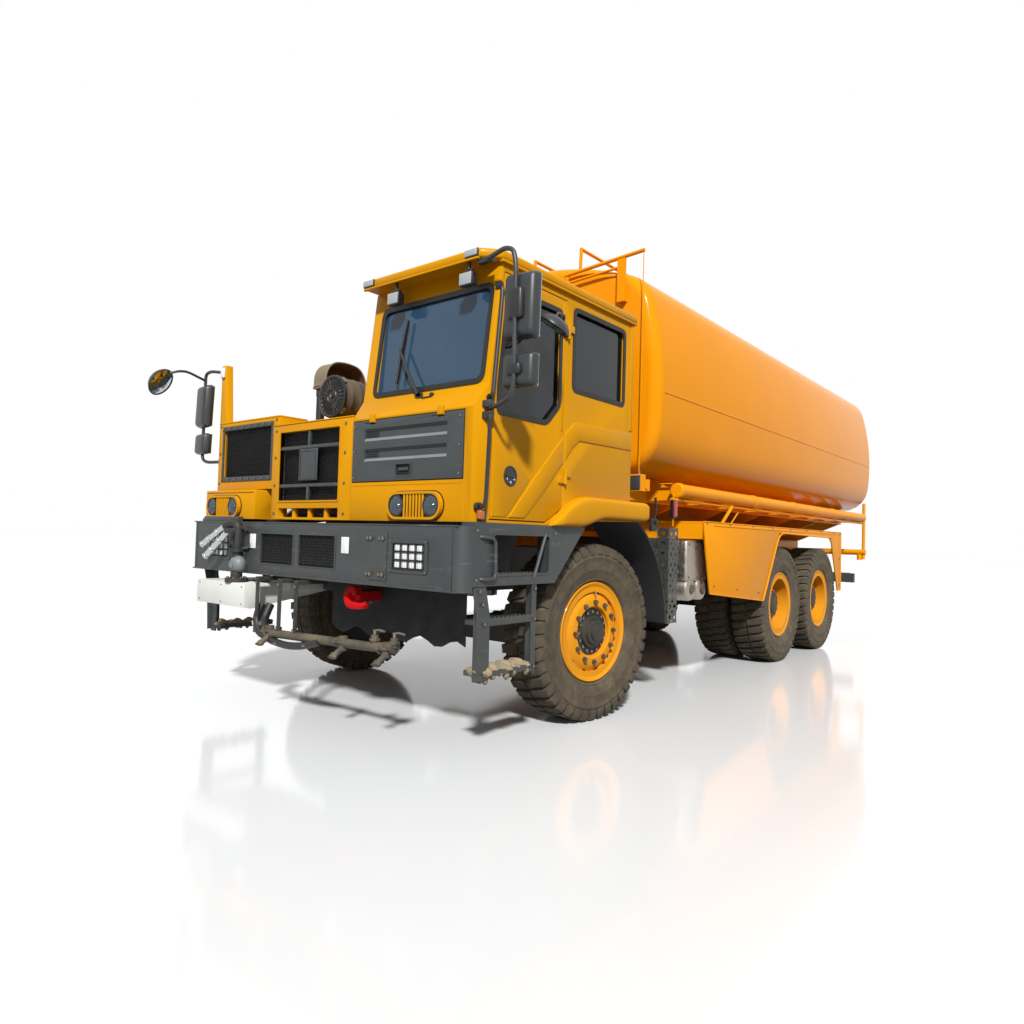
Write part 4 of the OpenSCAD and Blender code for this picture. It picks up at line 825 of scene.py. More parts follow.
class TANKER_OT_wheel_hubs(bpy.types.Operator):
    """Add hubs, nuts, rings and valves to the wheels"""

    bl_idname = "tanker.wheel_hubs"
    bl_label = "Wheel hubs"

    def execute(self, context):
        for name, joint, body, side, _ in WHEELS:
            bm = bmesh.new()
            place = axle_place(joint, side)
            spin_place = place @ Z_TO_X
            if "front" in name:
                # Rolled edge and lock ring of the rim
                spun(bm, [(0.352, 0.14), (0.372, 0.142), (0.376, 0.15), (0.37, 0.157), (0.35, 0.152), (0.336, 0.14)],
                     spin_place, 72)
                spun(bm, [(0.3, 0.121), (0.262, 0.15), (0.24, 0.156), (0.196, 0.156), (0.188, 0.15), (0.186, 0.118)],
                     spin_place, 72)
                with coat(bm, 1):
                    bolt_circle(bm, place, 0.225, 0.155, 12, 0.036, 0.026)
                    bolt_circle(bm, place, 0.225, 0.18, 12, 0.02, 0.012)
                    bolt_circle(bm, place, 0.15, 0.125, 16, 0.024, 0.016)
                with coat(bm, 2):
                    spun(bm, [(0.186, 0.122), (0.172, 0.13), (0.128, 0.13), (0.122, 0.15), (0.1, 0.156), (0.094, 0.18),
                              (0.086, 0.184), (0.0, 0.184)], spin_place, 48)
                    spun(bm, [(0.07, 0.18), (0.066, 0.196), (0.03, 0.2), (0.0, 0.2)], spin_place, 32)
                    # Brake drum's rim on the inner side
                    spun(bm, [(0.215, -0.06), (0.29, -0.066), (0.318, -0.09), (0.318, -0.15), (0.215, -0.15),
                              (0.215, -0.06)], spin_place, 48)
                # Painted shade: black discs stand for the rim's holes, dark inside
                with coat(bm, 3):
                    out = (place.to_3x3() @ Vector((1, 0, 0))).normalized()
                    for c, s in around(12, 0.5):
                        hole = place @ Vector((0.126, 0.288 * s, 0.288 * c))
                        rod(bm, hole - out * 0.004, hole + out * 0.006, 0.014)
                with coat(bm, 1):
                    stem = [place @ Vector(p) for p in ((0.12, 0.0, 0.305), (0.165, 0.0, 0.3), (0.172, 0.0, 0.27))]
                    pipe(bm, stem, 0.005, 0.02)
            else:
                outer = TWIN_PITCH / 2
                spun(bm, [(0.352, outer + 0.14), (0.372, outer + 0.142), (0.376, outer + 0.149), (0.37, outer + 0.155),
                          (0.35, outer + 0.15), (0.332, outer + 0.136), (0.322, outer + 0.06), (0.316, 0.108)],
                     spin_place, 72)
                with coat(bm, 1):
                    bolt_circle(bm, place, 0.235, 0.1, 12, 0.04, 0.04)
                    bolt_circle(bm, place, 0.14, 0.289, 12, 0.022, 0.014)
                    stem = [place @ Vector(p) for p in ((0.11, 0.0, 0.29), (0.24, 0.0, 0.285), (0.3, 0.0, 0.3))]
                    pipe(bm, stem, 0.006, 0.03)
                with coat(bm, 2):
                    spun(bm, [(0.2, 0.1), (0.196, 0.13), (0.178, 0.15), (0.172, 0.268), (0.16, 0.292), (0.112, 0.294),
                              (0.104, 0.306), (0.09, 0.314), (0.0, 0.316)], spin_place, 48)
            finished("wheel_hub_" + name, bm, "rim bolt black liner", body, sharp=30)
        return {"FINISHED"}


# ------------------------------------------------------------------ tank


SIDE_WELD_Z = 2.66


class TANKER_OT_tank(bpy.types.Operator):
    """Add the smooth tank with its weld seams and its manhole neck"""

    bl_idname = "tanker.tank"
    bl_label = "Tank"

    def execute(self, context):
        low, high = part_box("tank")
        front, rear = low[1], high[1]
        bm = bmesh.new()
        bm.from_mesh(frame["nodes"]["tank"].data)
        bmesh.ops.remove_doubles(bm, verts=bm.verts, dist=1e-4)
        # The middle section is drawn out to the length of the tank, without the frame node's fittings
        cut = (front + rear) / 2 + 1.2
        bmesh.ops.bisect_plane(bm, geom=bm.verts[:] + bm.edges[:] + bm.faces[:], dist=1e-6, plane_co=(0, cut, 0),
                               plane_no=(0, 1, 0), clear_inner=True, clear_outer=True)
        bmesh.ops.delete(bm, geom=[v for v in bm.verts if abs(v.co.y - cut) > 1e-4], context="VERTS")
        bmesh.ops.dissolve_limit(bm, angle_limit=math.radians(0.3), verts=bm.verts, edges=bm.edges)
        section = [v.co.copy() for v in bm.verts]
        bmesh.ops.translate(bm, verts=bm.verts, vec=(0, front - cut, 0))
        moved(bm, bmesh.ops.extrude_edge_only(bm, edges=bm.edges[:]), (0, rear - front, 0))
        bmesh.ops.holes_fill(bm, edges=[e for e in bm.edges if e.is_boundary], sides=0)
        bmesh.ops.recalc_face_normals(bm, faces=bm.faces)
        ends = [e for e in bm.edges if abs(e.verts[0].co.y - e.verts[1].co.y) < 1e-4]
        fold_round(bm, ends, 0.105, 8)
        reach = max(p.x for p in section)
        top = max(p.z for p in section)
        # A weld bead along each side
        for side in (-1, 1):
            rod(bm, (side * reach, front + 0.11, SIDE_WELD_Z), (side * reach, rear - 0.11, SIDE_WELD_Z), 0.005, sides=8)
        # The neck stands under the middle of the lid's disc
        low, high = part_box("manhole_lid")
        neck_y = high[1] - (high[0] - low[0]) / 2
        spun(bm, [(0.3, top - 0.02), (0.285, top + 0.004), (0.28, top + 0.012), (0.28, top + 0.082),
                  (0.305, top + 0.084), (0.305, top + 0.0895), (0.26, top + 0.0895)],
             Matrix.Translation((0, neck_y, 0)))
        finished("smooth_tank", bm, "tank", replaces=("tank",), sharp=50)

        bm = bmesh.new()
        for c, s in around(8, 0.5):
            hexagon(bm, (0.29 * c, neck_y + 0.29 * s, top + 0.118), (0, 0, 1), 0.03, 0.02)
        finished("manhole_bolts", bm, "bolt", "manhole_cover")
        return {"FINISHED"}


# ------------------------------------------------------------------ cab

CAB_LEFT = 1.585
CAB_RIGHT = 0.385
NOSE_Y = -1.5
SILL_Z = 2.31
CAB_TOP = 3.11


def side_points(x, pairs):
    """Points on a side plane from (y, z) pairs counted from the front axle."""
    return [at(x, y, z) for y, z in pairs]


def front_points(y, pairs):
    """Points on a cross plane from (x, z) pairs."""
    return [at(x, y, z) for x, z in pairs]


def front_oblong(y, x0, z0, x1, z1):
    """The corners of an upright oblong on a cross plane."""
    return front_points(y, [(x0, z0), (x1, z0), (x1, z1), (x0, z1)])


def on_side(side):
    """The function that gives points on one side of the truck, their x counted outwards."""
    return lambda x, y, z: at(side * x, y, z)


def screen_points(pairs, out=0.0):
    """Points on the leaning plane of the windscreen frame from (x, z) pairs, set off it a little."""
    return [at(x, -1.41 + 0.095 * (z - SILL_Z) / (CAB_TOP - SILL_Z) - out, z) for x, z in pairs]


class TANKER_OT_cab_panels(bpy.types.Operator):
    """Round the cab's folds and add its pressed bands, seams and window seals"""

    bl_idname = "tanker.cab_panels"
    bl_label = "Cab panels"

    def execute(self, context):
        ease = sizes().ease
        eased("cab_shell", ease, "cab")
        eased("cab_roof", 0.018, "cab")
        # The door's mirror arm is left out, for the bent tube and the dished head that stand in its place
        eased("cab_door", ease * 0.6, "cab", "door", least=4,
              leave_out=lambda p: p.x > 1.63 or (p.x > 1.586 and p.z > 2.84))

        bm = bmesh.new()
        out = Vector((0.009, 0, 0))
        x = CAB_LEFT - 0.001
        # Raised belt band behind the door, and the rear edge's folded flange
        plate(bm, side_points(x, [(0.325, 2.22), (-0.47, 2.2), (-0.56, 2.13), (-0.59, 2.101), (-0.59, 1.916),
                                  (-0.49, 2.018), (-0.416, 2.072), (0.325, 2.084)]), out, 0.006)
        plate(bm, side_points(x, [(0.325, 3.1), (0.285, 3.1), (0.285, 2.24), (0.325, 2.24)]), out, 0.003)
        # Gutter and drip edge of the roof, and the visor's lip
        slab(bm, at(1.575, -1.34, 3.094), at(1.609, 0.345, 3.112), 0.005)
        slab(bm, at(0.4, -1.462, 3.098), at(1.5, -1.44, 3.114), 0.005)
        plate(bm, front_points(NOSE_Y + 0.001, [(0.39, 1.7), (1.475, 1.7), (1.482, 1.46), (1.474, 1.46), (1.467, 1.692),
                                                (0.39, 1.692)]), (0, -0.003, 0))
        # Roof ribs
        for rib_x in (0.62, 0.86, 1.1, 1.34):
            slab(bm, at(rib_x - 0.025, -1.25, 3.174), at(rib_x + 0.025, 0.2, 3.184), 0.004)
        # Rear wall ribs
        for rib_x in (0.55, 1.42):
            slab(bm, at(rib_x - 0.03, 0.325, 1.7), at(rib_x + 0.03, 0.338, 3.05), 0.005)
        finished("cab_pressings", bm, "cab")

        bm = bmesh.new()
        plate(bm, side_points(x, [(-0.611, 2.08), (-0.94, 1.76), (-1.195, 1.492), (-1.032, 1.492), (-0.82, 1.683),
                                  (-0.611, 1.895)]), out, 0.006)
        plate(bm, side_points(x, [(-1.36, 2.045), (-0.985, 1.747), (-1.222, 1.492), (-1.36, 1.492)]), out * 0.7, 0.004)
        plate(bm, side_points(x, [(-0.622, 3.02), (-0.646, 3.02), (-0.646, 2.12), (-0.622, 2.12)]), out * 0.6, 0.002)
        finished("door_pressings", bm, "cab", "door")

        bm = bmesh.new()
        seal = Vector((0.005, 0, 0))
        ring_plate(bm, side_points(CAB_LEFT, [(-1.34, 2.132), (-0.808, 2.132), (-0.65, 2.288), (-0.65, 2.968),
                                              (-1.268, 2.968), (-1.34, SILL_Z)]), 0.034, seal, 0.05)
        with coat(bm, 1):
            # Door handle: a recessed black disc with its grip and two screws
            place = facing(at(1.5915, -1.19, 1.755), (1, 0, 0))
            spun(bm, [(0.0, 0.0005), (0.054, 0.0005), (0.058, 0.004), (0.064, 0.004), (0.066, 0.0), (0.066, -0.01)],
                 place, 40)
            slab(bm, at(1.588, -1.232, 1.745), at(1.6, -1.148, 1.768), 0.005)
        with coat(bm, 2):
            for y in (-1.226, -1.154):
                rod(bm, at(1.588, y, 1.735), at(1.5965, y, 1.735), 0.007)
            rod(bm, at(1.588, -1.19, 1.715), at(1.5965, -1.19, 1.715), 0.009)
        finished("door_seal_and_handle", bm, "seal trim chrome", "door")

        bm = bmesh.new()
        rear_pane = [(-0.523, 2.412), (0.21, 2.412), (0.21, 3.028), (-0.523, 3.028)]
        ring_plate(bm, side_points(CAB_LEFT, rear_pane), 0.034, seal, 0.06)
        ring_plate(bm, side_points(CAB_RIGHT, rear_pane), 0.034, -seal, 0.06)
        ring_plate(bm, side_points(CAB_RIGHT, [(-1.268, 2.402), (-0.632, 2.402), (-0.632, 2.968), (-1.268, 2.968)]),
                   0.045, -seal, 0.06)
        ring_plate(bm, screen_points([(0.478, 2.322), (1.538, 2.322), (1.54, 2.984), (0.478, 2.984)]), 0.034,
                   (0, -0.006, 0), 0.07)
        ring_plate(bm, front_points(0.33, [(0.622, 2.382), (1.348, 2.382), (1.348, 2.968), (0.622, 2.968)]), 0.045,
                   (0, 0.008, 0), 0.06)
        # Door gap strip
        slab(bm, at(1.546, -0.601, 1.6), at(1.56, -0.593, 3.04), 0.002)
        finished("window_seals", bm, "seal")

        bm = bmesh.new()
        for z in (1.8, 2.827):
            for y, k in ((-0.565, 1), (-0.54, 1), (-0.565, 0), (-0.54, 0)):
                hexagon(bm, at(1.585, y, z + 0.008 + 0.03 * k), (1, 0, 0), 0.014, 0.008)
            rod(bm, at(1.6, -0.592, z - 0.052), at(1.6, -0.592, z + 0.052), 0.0125)
        finished("hinge_pins", bm, "cab")
        return {"FINISHED"}


class TANKER_OT_cab_fittings(bpy.types.Operator):
    """Add the wiper, lamps, rails and dashboard details of the cab"""

    bl_idname = "tanker.cab_fittings"
    bl_label = "Cab fittings"

    def execute(self, context):
        bm = bmesh.new()
        # Wiper: pivot, arm, blade and the washer's hose, with the stub of a second pivot
        rod(bm, at(0.98, -1.4, 2.295), at(0.98, -1.44, 2.295), 0.022)
        slab(bm, at(0.945, -1.44, 2.281), at(1.015, -1.426, 2.309), 0.004)
        pipe(bm, screen_points([(0.98, 2.3), (0.87, 2.45), (0.745, 2.64)], 0.034), 0.01, 0.03)
        pipe(bm, screen_points([(0.735, 2.4), (0.745, 2.62), (0.772, 2.85)], 0.02), 0.009, 0.05)
        plate(bm, screen_points([(0.73, 2.4), (0.744, 2.4), (0.78, 2.85), (0.766, 2.85)], 0.014), (0, 0.008, 0))
        rod(bm, at(1.1, -1.4, 2.285), at(1.1, -1.438, 2.285), 0.016)
        pipe(bm, [at(0.98, -1.43, 2.3), at(1.02, -1.442, 2.27), at(1.1, -1.438, 2.275)], 0.005, 0.02)
        # Dashboard details: instrument hood, switches and a lever with its knob
        slab(bm, at(0.82, -1.16, 2.255), at(1.22, -1.02, 2.34), 0.02)
        for i in range(6):
            slab(bm, at(0.55 + 0.05 * i, -1.135, 2.17), at(0.58 + 0.05 * i, -1.12, 2.19), 0.003)
        rod(bm, at(0.66, -0.75, 1.72), at(0.66, -0.78, 2.15), 0.014)
        bmesh.ops.create_uvsphere(bm, u_segments=20, v_segments=12, radius=0.032,
                                  matrix=Matrix.Translation(at(0.66, -0.78, 2.16)))
        # Sun visor behind the windscreen
        slab(bm, at(0.52, -1.27, 2.88), at(1.5, -1.255, 3.02), 0.006)
        finished("wiper_and_controls", bm, "trim")

        bm = bmesh.new()
        # Two work lamps under the visor: finned body, plain rectangular face and stalk
        for x in (1.396, 0.714):
            z = 2.99
            slab(bm, at(x - 0.056, -1.458, z - 0.044), at(x + 0.056, -1.418, z + 0.044), 0.008)
            for i in range(7):
                fin_x = x - 0.048 + 0.016 * i
                slab(bm, at(fin_x - 0.003, -1.42, z - 0.038), at(fin_x + 0.003, -1.4, z + 0.038))
            rod(bm, at(x, -1.425, z + 0.045), at(x, -1.425, z + 0.118), 0.012)
            slab(bm, at(x - 0.035, -1.44, z + 0.05), at(x + 0.035, -1.41, z + 0.066), 0.004)
            with coat(bm, 1):
                slab(bm, at(x - 0.05, -1.464, z - 0.038), at(x + 0.05, -1.456, z + 0.038), 0.004)
        for x in (1.44, 0.45):
            slab(bm, at(x - 0.056, -1.458, 3.118), at(x + 0.056, -1.446, 3.17), 0.004)
            with coat(bm, 1):
                slab(bm, at(x - 0.05, -1.468, 3.123), at(x + 0.05, -1.456, 3.165), 0.005)
        # Turn signal on the cab's corner
        slab(bm, at(1.56, -1.47, 1.462), at(1.606, -1.42, 1.53), 0.008)
        with coat(bm, 2):
            slab(bm, at(1.574, -1.486, 1.466), at(1.61, -1.44, 1.526), 0.01)
        finished("cab_lamps", bm, "trim lamp_face amber")

        bm = bmesh.new()
        # Hand rails at the cab's front corner, one low and one high
        pipe(bm, [at(1.572, -1.47, 1.546), at(1.632, -1.478, 1.546), at(1.636, -1.47, 1.6), at(1.636, -1.452, 2.06),
                  at(1.63, -1.455, 2.112), at(1.57, -1.42, 2.118)], 0.013, 0.05)
        pipe(bm, [at(1.572, -1.4, 2.224), at(1.612, -1.41, 2.232), at(1.612, -1.402, 2.29), at(1.606, -1.342, 2.86),
                  at(1.604, -1.336, 2.93), at(1.57, -1.332, 2.95)], 0.013, 0.05)
        for y, z in ((-1.47, 1.546), (-1.42, 2.118), (-1.4, 2.224), (-1.332, 2.95)):
            rod(bm, at(1.56, y, z), at(1.59, y, z), 0.026)
        finished("hand_rails", bm, "trim")
        return {"FINISHED"}


# ------------------------------------------------------------------ mirrors


def mirror_shell(bm, centre, width, height, depth, look):
    """A moulded mirror head: a pillow-shaped shell with its glass set into the back."""
    place = facing(centre, look)
    verts = cuboid(bm, (width, height, depth))
    for vert in verts:
        if vert.co.z < 0:
            vert.co.x *= 0.82
            vert.co.y *= 0.88
    bmesh.ops.transform(bm, matrix=place, verts=verts)
    edges = list({edge for vert in verts for edge in vert.link_edges})
    fold_round(bm, edges, min(width, height, depth) * 0.38, 4)
    with coat(bm, 1):
        pane = cuboid(bm, (width * 0.86, height * 0.9, 0.01))
        bmesh.ops.translate(bm, vec=(0, 0, depth / 2 + 0.001), verts=pane)
        bmesh.ops.transform(bm, matrix=place, verts=pane)


def round_mirror(bm, centre, r, look):
    """A round look-down mirror: a dished shell with a convex glass."""
    place = facing(centre, look)
    spun(bm, [(0.0, -r * 0.42), (r * 0.45, -r * 0.36), (r * 0.8, -r * 0.16), (r * 0.97, r * 0.06), (r, r * 0.16),
              (r * 0.95, r * 0.2), (r * 0.9, r * 0.16)], place, 40)
    with coat(bm, 1):
        spun(bm, [(0.0, r * 0.3), (r * 0.35, r * 0.275), (r * 0.65, r * 0.22), (r * 0.91, r * 0.15)], place, 40)


class TANKER_OT_mirrors(bpy.types.Operator):
    """Add the mirrors with their tube arms, on the cab, the hood and the door"""

    bl_idname = "tanker.mirrors"
    bl_label = "Mirrors"

    def execute(self, context):
        bm = bmesh.new()
        y = -1.474
        back = Vector((-0.12, 1, -0.03))
        pipe(bm, [at(1.5, -1.42, 3.086), at(1.735, y, 3.105), at(1.8, y, 3.08), at(1.822, y, 2.98), at(1.83, y, 2.27),
                  at(1.812, y, 2.2), at(1.7, y + 0.02, 2.16), at(1.56, -1.41, 2.15)], 0.015, 0.06, 4)
        slab(bm, at(1.475, -1.44, 3.072), at(1.59, -1.395, 3.108), 0.006)
        for z in (2.18, 2.11):
            slab(bm, at(1.56, -1.45, z - 0.024), at(1.625, -1.398, z + 0.024), 0.008)
        mirror_shell(bm, at(1.826, -1.418, 2.752), 0.25, 0.425, 0.085, back)
        mirror_shell(bm, at(1.834, -1.428, 2.36), 0.25, 0.215, 0.075, back)
        with coat(bm, 2):
            # The shells swell round the tube where it is clamped
            for z, length in ((2.752, 0.19), (2.36, 0.075)):
                slab(bm, at(1.775, y - 0.02, z - length / 2), at(1.88, -1.44, z + length / 2), 0.022)
        mast_x, mast_y = -1.79, -1.46
        pipe(bm, [at(-1.5, -1.42, 2.745), at(-1.7, mast_y, 2.775), at(mast_x, mast_y, 2.76), at(mast_x, mast_y, 1.985),
                  at(-1.7, mast_y, 1.955), at(-1.5, -1.42, 1.955)], 0.014, 0.06, 4)
        for z in (2.745, 1.955):
            slab(bm, at(-1.538, -1.445, z - 0.035), at(-1.52, -1.395, z + 0.035), 0.006)
        right_back = Vector((0.12, 1, -0.03))
        mirror_shell(bm, at(mast_x, mast_y - 0.005, 2.465), 0.235, 0.4, 0.082, right_back)
        mirror_shell(bm, at(mast_x, mast_y - 0.005, 2.125), 0.235, 0.195, 0.075, right_back)
        with coat(bm, 2):
            for z in (2.58, 2.34, 2.17, 2.08):
                rod(bm, at(mast_x, mast_y + 0.045, z - 0.022), at(mast_x, mast_y + 0.045, z + 0.022), 0.026)
        pipe(bm, [at(mast_x, mast_y, 2.7), at(-1.72, -1.7, 2.745), at(-1.8, -1.83, 2.69), at(-1.842, -1.872, 2.65)],
             0.011, 0.08, 4)
        round_mirror(bm, at(-1.83, -1.855, 2.63), 0.128, (0.72, 0.38, -0.5))
        finished("mirror_set", bm, "mirror_shell mirror trim", replaces=("mirrors",))

        bm = bmesh.new()
        pipe(bm, [at(1.58, -0.64, 2.88), at(1.65, -0.72, 2.9), at(1.74, -0.93, 2.85), at(1.762, -0.985, 2.79)], 0.009,
             0.06, 4)
        round_mirror(bm, at(1.77, -0.99, 2.752), 0.118, (-0.5, -0.25, -0.83))
        finished("door_look_down_mirror", bm, "mirror_shell mirror", "door")
        return {"FINISHED"}


# ------------------------------------------------------------------ nose and grilles


class TANKER_OT_nose(bpy.types.Operator):
    """Add the louvred service panel and its handle"""

    bl_idname = "tanker.nose"
    bl_label = "Nose"

    def execute(self, context):
        eased("service_panel", 0.004, "grey", "service_lid")
        bm = bmesh.new()
        y = NOSE_Y - 0.006
        for low in (1.865, 2.005):
            high = low + 0.08
            # Each louvre: its recess, a black strip along its top that is painted shadow, a lighter grey lip below that
            # is a painted highlight, and a punched patch
            slab(bm, at(0.53, y + 0.009, low), at(1.326, y + 0.01, high))
            with coat(bm, 2):
                slab(bm, at(0.536, y + 0.003, high - 0.016), at(1.322, y + 0.0095, high - 0.001))
            with coat(bm, 1):
                plate(bm, [at(0.532, y + 0.006, low + 0.016), at(1.324, y + 0.006, low + 0.016),
                           at(1.328, y - 0.002, low - 0.004), at(0.528, y - 0.002, low - 0.004)], (0, 0.003, -0.001))
                mesh_panel(bm, at(0.54, y + 0.007, low + 0.018), at(0.672, y + 0.007, high - 0.018), 1, 0.014, 0.006)
        ring_plate(bm, front_oblong(y, 0.85, 1.745, 1.011, 1.839), 0.01, (0, -0.004, 0), 0.02)
        # Painted shade: the back of the handle's recess is black
        with coat(bm, 2):
            slab(bm, at(0.858, y + 0.012, 1.753), at(1.003, y + 0.014, 1.831))
        slab(bm, at(0.885, y - 0.001, 1.786), at(0.976, y + 0.008, 1.806), 0.004)
        with coat(bm, 3):
            for x, z in ((0.425, 1.75), (1.44, 1.75), (0.425, 2.11), (1.44, 2.11), (0.425, 1.93), (1.44, 1.93)):
                hexagon(bm, at(x, y + 0.001, z), (0, -1, 0), 0.018, 0.006)
        finished("louvres", bm, "grey lip liner bolt", "service_lid")
        return {"FINISHED"}


def lamp_cluster(bm, centre_x, centre_z, face_y):
    """A long headlamp: stadium bezel, two round lamps and upright guard bars between them."""
    half, r = 0.162, 0.088
    steps = 12

    def stadium(radius, y):
        points = []
        for side, start in ((1, -90), (-1, 90)):
            for i in range(steps + 1):
                angle = math.radians(start + 180 * i / steps)
                points.append(at(centre_x + side * half + radius * math.cos(angle), y,
                                 centre_z + radius * math.sin(angle)))
        return points

    # Black well, thin black outline, painted bezel, then the lamps and the painted bars between them
    plate(bm, stadium(r - 0.004, face_y + 0.004), (0, -0.008, 0))
    ring_plate(bm, stadium(r + 0.01, face_y - 0.002), 0.007, (0, -0.004, 0))
    with coat(bm, 3):
        ring_plate(bm, stadium(r + 0.003, face_y - 0.004), 0.016, (0, -0.03, 0))
    for side in (-1, 1):
        x = centre_x + side * half
        place = facing(at(x, face_y - 0.012, centre_z), (0, -1, 0))
        spun(bm, [(0.062, 0.0), (0.074, 0.002), (0.074, 0.018), (0.064, 0.02), (0.062, 0.016)], place, 40)
        with coat(bm, 1):
            spun(bm, [(0.0, 0.0), (0.03, 0.002), (0.056, 0.012), (0.063, 0.016)], place, 40)
            rod(bm, at(x, face_y - 0.013, centre_z), at(x, face_y - 0.022, centre_z), 0.02, 0.012)
        with coat(bm, 2):
            spun(bm, [(0.0, 0.026), (0.03, 0.024), (0.056, 0.019), (0.063, 0.015)], place, 40)
    with coat(bm, 3):
        for i in range(7):
            x = centre_x - 0.087 + 0.029 * i
            slab(bm, at(x - 0.0065, face_y - 0.03, centre_z - 0.082), at(x + 0.0065, face_y - 0.018, centre_z + 0.082),
                 0.003)


class TANKER_OT_grilles(bpy.types.Operator):
    """Add the middle grille, the side grille and the headlamps"""

    bl_idname = "tanker.grilles"
    bl_label = "Grilles and headlamps"

    def execute(self, context):
        pitch = sizes().mesh_pitch
        # The frame's bars give way to the mesh and bars below; the back of the opening's walls takes the black liner as
        # painted shade
        piece = eased("middle_grille", 0.004, "cab liner",
                      leave_out=lambda p: -0.51 < p.x < 0.25 and 1.6 < p.z < 2.13)
        for face in piece.data.polygons:
            p = face.center
            if -0.51 < p.x < 0.255 and 1.59 < p.z < 2.14 and p.y > AXLE_Y - 1.455:
                face.material_index = 1
        bm = bmesh.new()
        # Woven mesh behind the bars
        mesh_panel(bm, at(-0.498, -1.462, 1.6), at(0.243, -1.462, 2.13), 1, pitch, 0.007)
        mesh_panel(bm, at(-0.498, -1.455, 1.471), at(0.243, -1.455, 1.539), 1, pitch, 0.007)
        with coat(bm, 1):
            for z in (1.712, 2.004):
                slab(bm, at(-0.5, -1.5, z - 0.012), at(0.245, -1.474, z + 0.014), 0.004)
            slab(bm, at(-0.148, -1.498, 1.6), at(-0.122, -1.476, 1.704), 0.003)
            slab(bm, at(-0.148, -1.498, 2.012), at(-0.122, -1.476, 2.13), 0.003)
            # Bare plate in the middle
            slab(bm, at(-0.243, -1.506, 1.748), at(-0.019, -1.488, 1.99), 0.01)
            ring_plate(bm, front_oblong(-1.506, -0.232, 1.76, -0.03, 1.978), 0.008, (0, -0.004, 0))
        # Painted shade: a black sheet behind the mesh stands for the dark space behind the grille
        with coat(bm, 2):
            slab(bm, at(-0.5, -1.446, 1.598), at(0.245, -1.44, 2.132))
        with coat(bm, 3):
            front_bolts(bm, (-0.56, 0.31), -1.5, (1.5, 1.72, 1.94, 2.15), 0.02, 0.008)
        with coat(bm, 4):
            ring_plate(bm, front_oblong(-1.5, -0.512, 1.586, 0.257, 2.144), 0.012, (0, -0.006, 0), 0.02)
            slab(bm, at(-0.6, -1.506, 2.19), at(0.385, -1.44, 2.2), 0.004)
        finished("middle_grille_fill", bm, "mesh grey liner bolt cab")

        piece = eased("right_hood", 0.008, "cab")
        # The lamp post above the hood is a slim folded channel, drawn in towards its outer face
        hood_top, post_x, slimmer = 2.288, -1.522, 0.62
        for vert in piece.data.vertices:
            if vert.co.z > hood_top and vert.co.x < -1.35:
                vert.co.x = post_x + (vert.co.x - post_x) * slimmer
        bm = bmesh.new()
        y = -1.45
        mesh_panel(bm, at(-1.444, y + 0.02, 1.79), at(-0.706, y + 0.02, 2.233), 1, pitch * 0.85, 0.006)
        with coat(bm, 1):
            for z0, z1 in ((1.772, 1.812), (2.214, 2.252)):
                slab(bm, at(-1.462, y - 0.008, z0), at(-0.688, y + 0.004, z1), 0.003)
            for x0, x1 in ((-1.462, -1.438), (-0.712, -0.688)):
                slab(bm, at(x0, y - 0.005, 1.8), at(x1, y + 0.004, 2.23), 0.003)
        # Painted shade: a black sheet behind the mesh stands for the dark space behind the grille
        with coat(bm, 2):
            slab(bm, at(-1.446, y + 0.034, 1.788), at(-0.704, y + 0.038, 2.235))
        with coat(bm, 3):
            for i in range(8):
                for z in (1.792, 2.233):
                    hexagon(bm, at(-1.435 + 0.103 * i, y - 0.008, z), (0, -1, 0), 0.02, 0.008)
            front_bolts(bm, (-1.49, -0.64), y, (1.76, 2.02, 2.26), 0.02, 0.008)
        with coat(bm, 4):
            # Seams of the folded hood, the post's flange and the lower block's cover
            slab(bm, at(-1.524, y - 0.004, 2.278), at(-0.598, y + 0.262, 2.292), 0.004)
            slab(bm, at(-1.51, -1.546, 1.668), at(-0.79, -1.538, 1.684), 0.003)
        with coat(bm, 5):
            slab(bm, at(-1.518, y - 0.022, 2.69), at(-1.462, y - 0.001, 2.78), 0.008)
        finished("side_grille_fill", bm, "mesh grey liner bolt cab led")

        bm = bmesh.new()
        lamp_cluster(bm, 1.06, 1.553, NOSE_Y)
        lamp_cluster(bm, -1.22, 1.553, -1.54)
        finished("headlamp_units", bm, "trim bowl lamp cab", replaces=("headlamps",))
        return {"FINISHED"}


# ------------------------------------------------------------------ bumper and water gear

BUMPER_Y = -1.622


